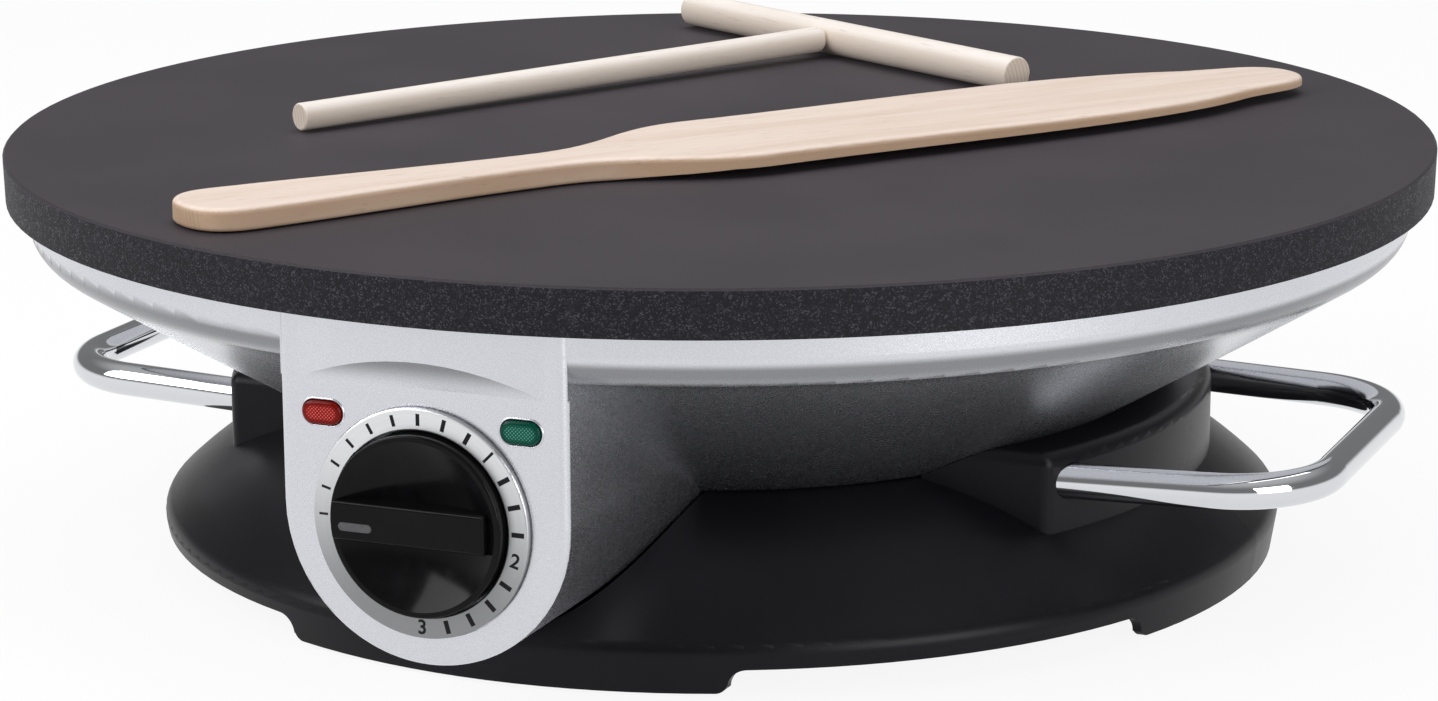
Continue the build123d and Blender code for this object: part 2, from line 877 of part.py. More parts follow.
def bracket_block(inner, outer, half_width, bottom, top, turn):
    """Part of a ring between two flat ends, centred on the direction turn."""
    ends = Pos(outer / 2, 0, bottom) * Box(outer, 2 * half_width, top - bottom, align=up)
    return tube(outer, inner, bottom, top) & (Rot(0, 0, turn) * ends)


def handle_bracket(turn):
    """A block that rises from the dome and takes one handle's ends."""
    block = bracket_block(
        bracket_inner, bracket_radius, bracket_half_width, shoulder_z, bracket_top_z, turn
    )
    inner_side = bracket_inner + 2 * bracket_round
    far = block.edges().filter_by(lambda e: hypot(e.center().X, e.center().Y) > inner_side)
    upright_edges = far.filter_by(Axis.Z)
    top_edges = far.filter_by_position(Axis.Z, bracket_top_z - 0.01, bracket_top_z + 0.01)
    return fillet(upright_edges + top_edges, bracket_round)


def bracket_hollow(turn):
    """The hollow under a bracket, between the solid parts round the handle's ends."""
    return bracket_block(
        bracket_inner + bracket_wall,
        bracket_radius - bracket_wall,
        bracket_pocket_half_width,
        shoulder_z,
        handle_z - handle_rod_radius,
        turn,
    )


def bowl_clearance():
    """The space that the bowl and pod take out of the base."""
    foot = bowl_foot_radius + bowl_gap
    outline = (
        Line((0, base_top_z), (foot, base_top_z))
        + SagittaArc((foot, base_top_z), (band_radius + bowl_gap, band_bottom_z - bowl_gap), -bowl_sag)
        + Line((band_radius + bowl_gap, band_bottom_z - bowl_gap), (band_radius, band_top_z))
        + Line((band_radius, band_top_z), (0, band_top_z))
        + Line((0, band_top_z), (0, base_top_z))
    )
    return turned(outline)


def pod_room(grow):
    """The pod's shape grown all round, for the pocket that it sits in."""
    front = face_y - pod_half_width
    return toward_back(pod_outline(-grow), 0, pod_arc_z, front, -pod_back + grow - front)


def handle_socket_bores():
    """The two bores that take the right handle's ends."""
    radius = handle_rod_radius + handle_fit
    length = bracket_radius - handle_end_x
    return [
        Pos(handle_end_x, leg * handle_end_y, handle_z)
        * Rot(0, 0, -leg * degrees(handle_lean))
        * Rot(0, 90, 0)
        * Pos(0, 0, -handle_fit)
        * Cylinder(radius, length, align=up)
        for leg in (1, -1)
    ]


def handle_screw_places():
    return [(i * handle_screw_x, j * handle_screw_y) for i in (1, -1) for j in (1, -1)]


def base_shell():
    solid = base_form()
    hollow = base_hollow()
    for turn in (0, 180):
        solid += handle_bracket(turn)
        hollow += bracket_hollow(turn)
    solid -= bowl_clearance()
    solid -= pod_room(pod_gap)
    hollow -= pod_room(pod_gap + base_wall)
    hollow -= bowl_backing()
    shell = solid - hollow
    post_top = base_ceiling_z + base_wall / 2
    for x, y, _ in post_places:
        shell += upright(cover_post_radius, ledge_z, post_top, x, y)
        shell -= upright(small_screw_radius + screw_gap / 2, ledge_z, ledge_z + small_screw_length, x, y)
    shell -= upright(cover_radius, skirt_z, ledge_z)
    for x, y, _ in tie_places:
        shell -= upright(tie_screw_radius + screw_gap, base_ceiling_z, base_top_z, x, y)
    for turn in (0, 180):
        for bore in handle_socket_bores():
            shell -= Rot(0, 0, turn) * bore
    for x, y in handle_screw_places():
        shell -= upright(small_screw_radius + screw_gap / 2, ledge_z, handle_z, x, y)
        shell -= upright(small_head_radius + screw_gap, ledge_z, handle_screw_seat_z, x, y)
    for x, y, _ in foot_places:
        shell -= upright(pad_radius, foot_z, foot_z + pad_thickness - pad_proud, x, y)
    return shell


def bowl_backing():
    """Keeps a wall's thickness of base where the bowl dips into the brackets."""
    backing = base_wall + bowl_gap
    outline = (
        Line((0, base_top_z), (bowl_foot_radius + backing, base_top_z - backing))
        + Line((bowl_foot_radius + backing, base_top_z - backing),
               (band_radius + backing, band_bottom_z - backing))
        + Line((band_radius + backing, band_bottom_z - backing), (band_radius, band_top_z))
        + Line((band_radius, band_top_z), (0, band_top_z))
        + Line((0, band_top_z), (0, base_top_z))
    )
    return turned(outline)


def bottom_cover():
    cover = upright(cover_radius - cover_gap, skirt_z, ledge_z)
    for x, y, angle in around(vent_count, vent_circle):
        slot = Pos(x, y, skirt_z) * Rot(0, 0, angle) * SlotOverall(vent_length, vent_width)
        cover -= extrude(slot, amount=cover_thickness)
    for x, y, _ in post_places:
        cover -= upright(small_screw_radius + screw_gap, skirt_z, ledge_z, x, y)
        cover -= upright(small_head_radius + screw_gap, skirt_z, skirt_z + cover_thickness / 2, x, y)
    return cover


def cover_screws():
    seat = skirt_z + cover_thickness / 2
    head_height = cover_thickness / 2
    length = small_screw_length
    return [
        screw_up(small_screw_radius, length, small_head_radius, head_height, x, y, seat)
        for x, y, _ in post_places
    ]


def foot_pads():
    places = foot_places
    return [upright(pad_radius - pad_fit, 0, pad_thickness, x, y) for x, y, _ in places]


def handle(turn):
    """A round rod bent to a U whose legs lean together, with both ends in the bracket."""
    reach = handle_grip_reach
    spread = handle_grip_spread
    end = handle_end_x
    corners = [(end, -handle_end_y), (reach, -spread), (reach, spread), (end, handle_end_y)]
    path = FilletPolyline(*corners, radius=handle_bend)
    along = (cos(handle_lean), sin(handle_lean), 0)
    section = Plane(origin=(end, -handle_end_y, 0), z_dir=along) * Circle(handle_rod_radius)
    rod = Pos(0, 0, handle_z) * sweep(section, path=path)
    tap = small_screw_radius + screw_gap / 2
    for leg in (1, -1):
        y = leg * handle_screw_y
        rod -= upright(tap, handle_z - handle_rod_radius, handle_z, handle_screw_x, y)
    return Rot(0, 0, turn) * rod


def handle_screws():
    seat = handle_screw_seat_z
    length = handle_z - screw_gap - seat
    return [
        screw_up(small_screw_radius, length, small_head_radius, small_head_height, x, y, seat)
        for x, y in handle_screw_places()
    ]


# ---------------------------------------------------------------------------
# Sensor, fuse, terminal block and gland
# ---------------------------------------------------------------------------

def capillary_sensor():
    """The bulb against the plate, and the fine tube down to the thermostat."""
    z = plate_under_z - bulb_radius - element_gap
    bulb = level(bulb_radius, bulb_y - bulb_length / 2, bulb_y + bulb_length / 2, bulb_x, z)
    bulb = fillet(bulb.edges(), bulb_radius * 0.6)
    start = bulb_y - bulb_length / 2 + capillary_overlap
    join_y = thermostat_front_y + thermostat_length
    join_z = dial_z + thermostat_height / 2 - capillary_bend
    join_x = thermostat_width / 2 - 1.5 * capillary_bend
    drop_y = capillary_y
    path = FilletPolyline(
        (bulb_x, start, z),
        (bulb_x, drop_y, z),
        (bulb_x, drop_y, join_z + 2 * capillary_bend),
        (join_x, drop_y - capillary_bend, join_z),
        (join_x, join_y, join_z),
        radius=capillary_bend,
    )
    section = Plane(origin=(bulb_x, start, z), z_dir=(0, -1, 0)) * Circle(capillary_radius)
    return bulb + sweep(section, path=path)


def thermal_fuse():
    z = plate_under_z - fuse_radius - element_gap
    wire_length = fuse_length + 2 * fuse_lead_length
    along_x = Pos(fuse_x, fuse_y, z) * Rot(0, 90, 0)
    return along_x * (Cylinder(fuse_radius, fuse_length) + Cylinder(fuse_lead_radius, wire_length))


def strap(radius):
    """A bent strip that holds a round piece up against the plate; it lies along X."""
    inner = radius + strap_slack
    outer = inner + strap_thickness
    drop = radius + element_gap
    foot = outer + strap_foot
    outline = Circle(outer) + Pos(0, drop / 2) * Rectangle(2 * outer, drop)
    outline += Pos(0, drop - strap_thickness / 2) * Rectangle(2 * foot, strap_thickness)
    outline -= Circle(inner) + Pos(0, drop / 2) * Rectangle(2 * inner, drop)
    outline -= Pos(0, drop + outer) * Rectangle(4 * outer, 2 * outer)
    return extrude(Plane.XZ * outline, amount=strap_width / 2, both=True)


def sensor_clips():
    return [clip_at(*place) for place in clip_places()]


def clip_places():
    """(x, y, turn, held radius) of the two straps under the plate."""
    return [
        (bulb_x, bulb_y, 0, bulb_radius),
        (fuse_x, fuse_y, 90, fuse_radius),
    ]


def clip_at(x, y, turn, radius):
    z = plate_under_z - radius - element_gap
    piece = Pos(x, y, z) * Rot(0, 0, turn) * strap(radius)
    for sx, sy in clip_screw_places(x, y, turn, radius):
        hole = clip_screw_radius + screw_gap
        piece -= upright(hole, plate_under_z - 2 * strap_thickness, plate_under_z, sx, sy)
    return piece


def clip_screw_places(x, y, turn, radius):
    offset = radius + strap_slack + strap_thickness + strap_foot / 2
    ux, uy = cos(radians(turn)), sin(radians(turn))
    return [(x + s * offset * ux, y + s * offset * uy) for s in (1, -1)]


def sensor_clip_screws():
    seat = plate_under_z - strap_thickness
    screws = []
    for place in clip_places():
        for x, y in clip_screw_places(*place):
            screw = screw_up(
                clip_screw_radius, strap_thickness, clip_head_radius, clip_head_height, x, y, seat
            )
            screws.append(screw)
    return screws


def terminal_block():
    block = Pos(0, block_y, housing_floor_z) * Box(block_width, block_depth, block_height, align=up)
    block = fillet(block.edges().filter_by(Axis.Z), block_round)
    top = housing_floor_z + block_height
    front = block_y - block_depth / 2
    bore_z = housing_floor_z + block_bore_height
    for k in (-1, 0, 1):
        x = k * block_pitch
        block -= level(block_bore_radius, front, front + block_depth, x, bore_z)
        block -= upright(small_head_radius, top - block_screw_well, top, x, block_y)
    return block


def terminal_screws():
    seat = housing_floor_z + block_height - block_screw_well
    radius = small_head_radius - block_screw_gap
    places = [k * block_pitch for k in (-1, 0, 1)]
    return [upright(radius, seat, seat + block_screw_height, x, block_y) for x in places]


def lead(points):
    """An insulated wire along straight runs with rounded corners."""
    path = FilletPolyline(*points, radius=lead_bend)
    run = path.edges()[0]
    section = Plane(origin=points[0], z_dir=run % 0) * Circle(lead_radius)
    return sweep(section, path=path)


def inner_leads():
    """Terminal block to thermostat, thermostat to element, element to terminal block."""
    block_front = block_y - block_depth / 2 - lead_end_gap
    block_z = housing_floor_z + block_bore_height
    tab_y = thermostat_front_y + thermostat_length + tab_length + lead_end_gap
    tab_x = tab_pitch / 2
    turn_y = tab_y + 2 * lead_stub
    pin_x, pin_y = element_leg_place(1)
    pin_z = element_pin_z - lead_end_gap
    run_z = housing_floor_z + lead_radius + lead_end_gap + lead_lift
    rise_y = bowl_foot_radius - lead_rise_inset
    aisle = block_width / 2 + lead_aisle
    outer_aisle = aisle + lead_aisle
    supply = lead([
        (0, block_front, block_z),
        (0, block_front - lead_stub, block_z),
        (-aisle, 0, run_z),
        (-aisle, turn_y, run_z),
        (-tab_x, tab_y + lead_stub, dial_z),
        (-tab_x, tab_y, dial_z),
    ])
    switched = lead([
        (tab_x, tab_y, dial_z),
        (tab_x, tab_y + lead_stub, dial_z),
        (aisle, turn_y, run_z),
        (aisle, rise_y, run_z),
        (pin_x, pin_y, pin_z - lead_bend),
        (pin_x, pin_y, pin_z),
    ])
    neutral = lead([
        (-block_pitch, block_front, block_z),
        (-block_pitch, block_front - lead_stub, block_z),
        (-outer_aisle, block_front, run_z + lead_lift),
        (-outer_aisle, rise_y, run_z + lead_lift),
        (-pin_x, pin_y, pin_z - lead_bend),
        (-pin_x, pin_y, pin_z),
    ])
    return [supply, switched, neutral]


def cord_gland():
    """A bush with a flange outside and a lip inside; the bore takes the cord."""
    outside = gland_boss_reach
    neck = level(gland_neck_radius, gland_inside_y, outside, 0, gland_z)
    flange = level(gland_flange_radius, outside, outside + gland_flange, 0, gland_z)
    rim = flange.edges().sort_by(Axis.Y)[-1]
    flange = fillet(rim, gland_flange / 3)
    lip_radius = gland_flange_radius - gland_lip_inset
    lip = level(lip_radius, gland_inside_y - gland_flange, gland_inside_y, 0, gland_z)
    gland = neck + flange + lip
    beyond = 2 * gland_flange
    return gland - level(gland_bore_radius, gland_inside_y - beyond, outside + beyond, 0, gland_z)


# ---------------------------------------------------------------------------
# Wooden tools
# ---------------------------------------------------------------------------

def spreader_place(piece):
    """From the tool's own place, with its bar along Y, to where it lies."""
    return Pos(spreader_x, spreader_y, bar_z) * Rot(0, 0, spreader_angle) * piece


def spreader_bar():
    half = spreader_bar_length / 2
    bar = Pos(0, -spreader_bar_offset, 0) * Rot(90, 0, 0) * Cylinder(spreader_bar_radius, 2 * half)
    bar = fillet(bar.edges().filter_by(GeomType.CIRCLE), wood_edge_round)
    depth = 2 * spreader_bar_radius
    bar -= spreader_tilt(Rot(0, -90, 0) * Cylinder(spreader_tenon_radius, depth, align=up))
    return spreader_place(bar)


def spreader_tilt(piece):
    """The handle's far end drops until it lies on the plate."""
    drop = spreader_bar_radius - spreader_handle_radius
    tilt = degrees(acos(sqrt(1 - (drop / spreader_handle_length) ** 2)))
    return Rot(0, -tilt, 0) * piece


def spreader_handle():
    shoulder = spreader_bar_radius + spreader_neck_gap
    stick = Pos(-shoulder, 0, 0) * Rot(0, -90, 0) * Cylinder(
        spreader_handle_radius, spreader_handle_length - shoulder, align=up
    )
    ends = stick.edges().filter_by(GeomType.CIRCLE).sort_by(Axis.X)
    stick = fillet(ends[0], wood_edge_round)
    stick = fillet(stick.edges().filter_by(GeomType.CIRCLE).sort_by(Axis.X)[-1], spreader_neck_round)
    radius = spreader_tenon_radius - spreader_tenon_fit
    tenon = Rot(0, -90, 0) * Cylinder(radius, shoulder + overcut, align=up)
    return spreader_place(spreader_tilt(stick + tenon))


def spatula_carving():
    """What is planed off the blade, a little above and more below."""
    run = spatula_length - spatula_blade_at
    over_top = Polyline(
        (spatula_blade_at, spatula_thickness),
        (spatula_blade_at + 2 * run, spatula_thickness - 2 * spatula_tip_fall),
        (spatula_blade_at + 2 * run, spatula_thickness * 2),
        (spatula_blade_at, spatula_thickness * 2),
        close=True,
    )
    below = Polyline(
        (spatula_carve_at, 0),
        (spatula_carve_end, spatula_carve),
        (spatula_blade_at + 2 * run, spatula_carve),
        (spatula_blade_at + 2 * run, -spatula_thickness),
        (spatula_carve_at, -spatula_thickness),
        close=True,
    )
    faces = make_face(over_top) + make_face(below)
    return extrude(Plane.XZ * faces, amount=spatula_blade_width, both=True)


def spatula():
    """A flat blade with a waisted handle, thinner towards the nose."""
    butt = spatula_butt_width / 2
    waist = spatula_waist_width / 2
    blade = spatula_blade_width / 2
    nose = spatula_nose_width / 2
    nose_at = spatula_length - spatula_nose_length
    slight = (1, -0.03)
    closing = (1, -0.4)
    upper = (
        Spline((0, 0), (butt, butt), tangents=[(0, 1), slight])
        + Spline((butt, butt), (spatula_waist_at, waist), tangents=[slight, (1, 0)])
        + Spline((spatula_waist_at, waist), (spatula_blade_at, blade), tangents=[(1, 0), slight])
        + Spline((spatula_blade_at, blade), (nose_at, nose), tangents=[slight, closing])
        + Spline((nose_at, nose), (spatula_length, 0), tangents=[closing, (0, -1)])
    )
    lower = mirror(upper, Plane.XZ)
    body = extrude(make_face(upper + lower), amount=spatula_thickness)
    body = fillet(body.edges().group_by(Axis.Z)[0], spatula_edge_round * 0.6)
    body -= spatula_carving()
    top_z = spatula_thickness - spatula_tip_fall
    high = body.edges().filter_by(lambda e: e.center().Z > top_z - 0.01)
    rims = high.filter_by(lambda e: abs(e.center().Y) > waist / 2 or e.center().X < butt)
    body = fillet(rims, spatula_edge_round)
    place = Pos(spatula_x, spatula_y, plate_top_z + tool_gap) * Rot(0, 0, spatula_angle)
    return place * body


# ---------------------------------------------------------------------------
# Every piece in its own file
# ---------------------------------------------------------------------------

PIECES = {
    "cooking_plate": cooking_plate,
    "heating_element": heating_element,
    "element_terminals": element_terminals,
    "element_clamps": element_clamps,
    "clamp_screws": clamp_screws,
    "heat_shield": heat_shield,
    "plate_spacers": plate_spacers,
    "tie_screws": tie_screws,
    "bowl_housing": bowl_housing,
    "dial_ring": dial_ring,
    "control_knob": knob_body,
    "knob_pointer": knob_pointer,
    "knob_spring": knob_spring,
    "thermostat_shaft": thermostat_shaft,
    "thermostat_body": thermostat_body,
    "thermostat_screws": thermostat_screws,
    "thermostat_terminals": thermostat_terminals,
    "indicator_lens_red": lambda: indicator_lens(-1),
    "indicator_lens_green": lambda: indicator_lens(1),
    "lamp_holders": lamp_holders,
    "neon_lamps": neon_lamps,
    "base_shell": base_shell,
    "bottom_cover": bottom_cover,
    "cover_screws": cover_screws,
    "foot_pads": foot_pads,
    "handle_left": lambda: handle(180),
    "handle_right": lambda: handle(0),
    "handle_screws": handle_screws,
    "capillary_sensor": capillary_sensor,
    "thermal_fuse": thermal_fuse,
    "sensor_clips": sensor_clips,
    "sensor_clip_screws": sensor_clip_screws,
    "terminal_block": terminal_block,
    "terminal_screws": terminal_screws,
    "inner_leads": inner_leads,
    "cord_gland": cord_gland,
    "spreader_bar": spreader_bar,
    "spreader_handle": spreader_handle,
    "spatula": spatula,
}


def write_pieces():
    os.makedirs("parts", exist_ok=True)
    for name, make in PIECES.items():
        made = make()
        if isinstance(made, list):
            made = Compound(children=[solid for piece in made for solid in piece.solids()])
        export_step(made, f"parts/{name}.step")


write_pieces()
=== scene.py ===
"""Looks for the electric crepe maker: the finish of every piece, the dial's marks, the
lamp windows and the studio, built around the packed frame. Metres, +Z up, pod towards -Y."""

import math

import bmesh
import bpy
from mathutils import Matrix, Vector


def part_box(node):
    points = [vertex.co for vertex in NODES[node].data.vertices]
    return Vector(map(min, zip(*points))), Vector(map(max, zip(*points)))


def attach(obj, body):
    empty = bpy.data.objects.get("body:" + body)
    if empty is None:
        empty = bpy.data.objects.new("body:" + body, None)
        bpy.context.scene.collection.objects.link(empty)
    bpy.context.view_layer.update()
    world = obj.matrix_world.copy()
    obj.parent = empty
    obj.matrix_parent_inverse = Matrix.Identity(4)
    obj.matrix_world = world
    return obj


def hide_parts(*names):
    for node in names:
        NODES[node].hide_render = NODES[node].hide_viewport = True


bl_info = {
    "name": "Crepe Maker Finishes",
    "version": (1, 0, 0),
    "blender": (4, 5, 0),
    "location": "View3D > Sidebar > Crepe maker",
    "description": "Dresses the parts of an electric crepe maker and sets up its studio",
    "category": "Material",
}

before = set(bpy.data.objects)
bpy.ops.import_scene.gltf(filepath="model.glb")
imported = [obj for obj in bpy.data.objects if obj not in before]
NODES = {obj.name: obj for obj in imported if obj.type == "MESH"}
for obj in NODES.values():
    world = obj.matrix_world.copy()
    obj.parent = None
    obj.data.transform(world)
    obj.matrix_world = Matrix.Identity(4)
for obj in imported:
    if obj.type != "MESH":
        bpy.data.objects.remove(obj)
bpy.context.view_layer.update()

MM = 0.001

# The pod's flat face, with the scale ring standing a little out of it
RING_LOW, RING_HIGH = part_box("dial_ring")
RING_PROUD = 1.6 * MM
FACE_Y = RING_LOW.y + RING_PROUD
DIAL_Z = (RING_LOW.z + RING_HIGH.z) / 2

# The brow slopes out over that face, and the painted shade under it is full a little way up the
# slope
PLATE_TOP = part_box("cooking_plate")[1].z
BROW_DROP = 24.9 * MM
BROW_Z = PLATE_TOP - BROW_DROP
BROW_SHADE_RISE = 5.5 * MM

# The cover's screws: the heads' radius, where the edges of the recess blur, and its depth
SCREW_HEAD = 2.8 * MM
CROSS_HALF_WIDTH = (0.28 * MM, 0.42 * MM)
CROSS_REACH = (1.5 * MM, 1.7 * MM)
CROSS_DEPTH = 0.6 * MM

# A figure's height as a share of its font's size, and how much its strokes are widened
FIGURE_SHARE = 0.7
FIGURE_WEIGHT = 0.09 * MM

# A lens: its depth as a share of its node's, how far its border falls back, and the width
# over which its prisms begin
LENS_DEPTH_SHARE = 0.6
LENS_FALL = 0.45 * MM
PRISM_FADE = 0.3 * MM
LENS_POINTS = 96
BEAD_POINTS, BEAD_SIDES = 72, 10

# The middle of the year rings, across and above a dowel's axis, and radians of them to a metre
PITH_Y, PITH_Z = 12 * MM, -3.5 * MM
YEAR_RINGS = 5600
# Radians of a sleeve's weave to a metre
BRAID = 5200

STEEL = (0.58, 0.57, 0.54)
SHEATH_STEEL = (0.30, 0.29, 0.28)
SHIELD_STEEL = (0.62, 0.62, 0.63)
BRASS = (0.70, 0.52, 0.24)
BLOCK_CERAMIC = (0.84, 0.82, 0.77)
HOLDER_CERAMIC = (0.80, 0.78, 0.71)
LEAD_SLEEVE = (0.78, 0.76, 0.70)
LAMP_GLASS, LAMP_HAZE = (0.95, 0.93, 0.90), (0.85, 0.82, 0.76)
WHITE = (1, 1, 1)
# Red, green and blue of the dowels' sides, darkened as painted shade, and of their sawn ends, as
# shares of the colour of their tops
SHADED_SIDE_AND_END_SHARES = (0.78, 0.68, 0.58)

# The studio: each lamp's width and place, the point that they face, and the floor
LAMPS = {
    "key": (0.9, (-0.9, -0.85, 0.75)),
    "fill": (0.7, (1.1, -0.6, 0.38)),
    "top": (1.1, (0.0, 0.25, 1.1)),
}
LAMP_AIM = Vector((0, 0, 0.05))
FLOOR_REACH = 6.0
FLOOR_SQUARES = 24
FLOOR_GAP = 0.1 * MM

# The camera: its frame's width and sideways shift in pixels, its sensor's width in
# millimetres, and the nearest and the farthest that it sees
FRAME_PIXELS = 1438
SHIFT_PIXELS = -2
SENSOR_WIDTH = 36
NEAREST, FARTHEST = 0.05, 50


# ---------------------------------------------------------------------------
# What a user would change
# ---------------------------------------------------------------------------

def swatch(name, description, value):
    """A colour in the panel."""
    return bpy.props.FloatVectorProperty(
        name=name, description=description, default=value, size=3, subtype="COLOR", min=0, max=1
    )


def length(name, description, value):
    """A length in the panel, in metres."""
    return bpy.props.FloatProperty(
        name=name, description=description, default=value, unit="LENGTH", subtype="DISTANCE", min=0
    )


def amount(name, description, value):
    """A plain number in the panel, never below zero."""
    return bpy.props.FloatProperty(name=name, description=description, default=value, min=0)


def turn(name, description, degrees):
    """An angle in the panel."""
    return bpy.props.FloatProperty(
        name=name, description=description, default=math.radians(degrees), subtype="ANGLE"
    )


class CrepeFinishes(bpy.types.PropertyGroup):
    """Colours of the crepe maker's finishes."""

    coating: swatch("Coating", "Non-stick coating on top of the plate", (0.040, 0.0345, 0.041))
    rim: swatch("Rim", "Cast rim under its speckled coating", (0.0072, 0.0071, 0.0100))
    fleck: swatch("Fleck", "Bright flecks in the rim's coating", (0.185, 0.185, 0.225))
    paint: swatch("Paint", "Silver paint of the bowl and pod", (0.64, 0.645, 0.685))
    base: swatch("Base", "Black plastic of the base", (0.0046, 0.0042, 0.0060))
    knob: swatch("Knob", "Gloss black of the knob", (0.0035, 0.0035, 0.004))
    pointer: swatch("Pointer", "Line let into the knob's bar", (0.065, 0.065, 0.068))
    dial: swatch("Dial", "Brushed aluminium of the scale ring", (0.70, 0.705, 0.72))
    ink: swatch("Ink", "Printed marks on the scale ring", (0.006, 0.006, 0.007))
    red_lens: swatch("Red lens", "Clear red of the left lamp window", (0.40, 0.010, 0.004))
    green_lens: swatch("Green lens", "Clear green of the right lamp window", (0.0, 0.135, 0.085))
    chrome: swatch("Chrome", "Plated handle rods", (0.68, 0.69, 0.715))
    spatula: swatch("Spatula", "Sanded face of the spatula", (0.75, 0.63, 0.555))
    # The spatula's edge colour is a painted shade on its sides and the dark tone of its grain
    spatula_edge: swatch("Spatula edge", "Sawn edge of the spatula", (0.48, 0.325, 0.215))
    spreader: swatch("Spreader", "Pale dowels of the batter spreader", (0.80, 0.745, 0.70))
    rubber: swatch("Rubber", "Foot pads and cord gland", (0.020, 0.020, 0.021))


class CrepeDial(bpy.types.PropertyGroup):
    """Sizes of the marks and numbers on the scale ring."""

    steps: bpy.props.IntProperty(
        name="Steps", description="Mark places from off to the hottest setting", default=19, min=2
    )
    step_angle: turn("Step angle", "Angle from one mark to the next", 15)
    mark_radius: length("Mark radius", "Middle of the marks from the dial's centre", 21.9 * MM)
    short_mark: length("Short mark", "Length of the first mark", 2.0 * MM)
    long_mark: length("Long mark", "Length of the last marks", 2.8 * MM)
    thin_mark: length("Thin mark", "Width of the first mark", 0.5 * MM)
    bold_mark: length("Bold mark", "Width of the last marks", 1.05 * MM)
    ink_height: length("Ink height", "How far the print stands on the ring", 0.02 * MM)
    number_height: length("Number height", "Height of the numbers", 3.0 * MM)


class CrepeLenses(bpy.types.PropertyGroup):
    """Sizes of the lamp windows: the lenses with their prisms and the beads round them."""

    flange: length("Flange", "Hidden flange of a lens round its window", 1.4 * MM)
    pitch: length("Pitch", "Width of one diamond prism", 0.78 * MM)
    depth: length("Depth", "Height of the prisms", 0.05 * MM)
    border: length("Border", "Rounded border of a window", 1.1 * MM)
    lip: length("Lip", "Radius of the bead moulded round a window", 0.22 * MM)
    gap: length("Gap", "From a lens to the middle of that bead", 0.45 * MM)
    cell: length("Cell", "Spacing of the lens mesh", 0.12 * MM)


class CrepeStudio(bpy.types.PropertyGroup):
    """Camera, lamps and floor of the studio."""

    azimuth: turn("Azimuth", "Camera's direction, from the front towards the right", 22.65)
    elevation: turn("Elevation", "Camera's height over the plate, as an angle", 10.94)
    distance: length("Distance", "Camera to the middle of the plate's top", 0.995)
    aim_height: length("Aim height", "Height that the camera looks at, on the axis", 42.5 * MM)
    roll: turn("Roll", "Camera's lean", -0.32)
    focal: amount("Focal length", "Lens in millimetres on a 36 mm frame", 106.8)
    shift: bpy.props.FloatProperty(
        name="Shift",
        description="Sideways shift of the frame, as a share of its width",
        default=SHIFT_PIXELS / FRAME_PIXELS,
    )
    key: amount("Key", "Power of the lamp at the front left, in watts", 14)
    fill: amount("Fill", "Power of the lamp at the right, in watts", 8)
    top: amount("Top", "Power of the lamp overhead, in watts", 7.5)
    sky: amount("Sky", "Strength of the world on matt surfaces", 0.7)
    dome: amount("Dome", "Strength of the world above the horizon, against 1 below it", 0.22)
    white: amount("White", "Share of plain white in the floor, as seen or mirrored", 0.9)
    floor: swatch("Floor", "Pale studio floor", (0.9, 0.9, 0.905))


GROUPS = {
    "crepe_finishes": CrepeFinishes,
    "crepe_dial": CrepeDial,
    "crepe_lenses": CrepeLenses,
    "crepe_studio": CrepeStudio,
}


# ---------------------------------------------------------------------------
# Shader maths
# ---------------------------------------------------------------------------

def between(low, high, share):
    """The number that lies a share of the way from low to high."""
    return low + (high - low) * share


def shade(colour, share):
    """The colour, darker or lighter by a share."""
    return tuple(min(1.0, part * share) for part in colour)


def whiten(colour, share):
    """The colour, moved towards white by a share."""
    return tuple(between(part, 1.0, share) for part in colour)


class Value:
    """A socket in a recipe. Arithmetic on it adds Math nodes."""

    def __init__(self, recipe, socket):
        self.recipe = recipe
        self.socket = socket

    def __add__(self, other):
        return self.recipe.maths("ADD", self, other)

    def __radd__(self, other):
        return self.recipe.maths("ADD", other, self)

    def __sub__(self, other):
        return self.recipe.maths("SUBTRACT", self, other)

    def __rsub__(self, other):
        return self.recipe.maths("SUBTRACT", other, self)

    def __mul__(self, other):
        return self.recipe.maths("MULTIPLY", self, other)

    def __rmul__(self, other):
        return self.recipe.maths("MULTIPLY", other, self)

    def __truediv__(self, other):
        return self.recipe.maths("DIVIDE", self, other)

    def __rtruediv__(self, other):
        return self.recipe.maths("DIVIDE", other, self)

    def __gt__(self, other):
        return self.recipe.maths("GREATER_THAN", self, other)

    def __lt__(self, other):
        return self.recipe.maths("LESS_THAN", self, other)

    def __abs__(self):
        return self.recipe.maths("ABSOLUTE", self)

    def sine(self):
        return self.recipe.maths("SINE", self)

    def root(self):
        return self.recipe.maths("SQRT", self)

    def ramp(self, low, high, start=0.0, end=1.0):
        """Smoothly from start where this is low to end where it is high."""
        return self.recipe.node(
            "ShaderNodeMapRange",
            {"interpolation_type": "SMOOTHSTEP"},
            {"Value": self, "From Min": low, "From Max": high, "To Min": start, "To Max": end},
        )


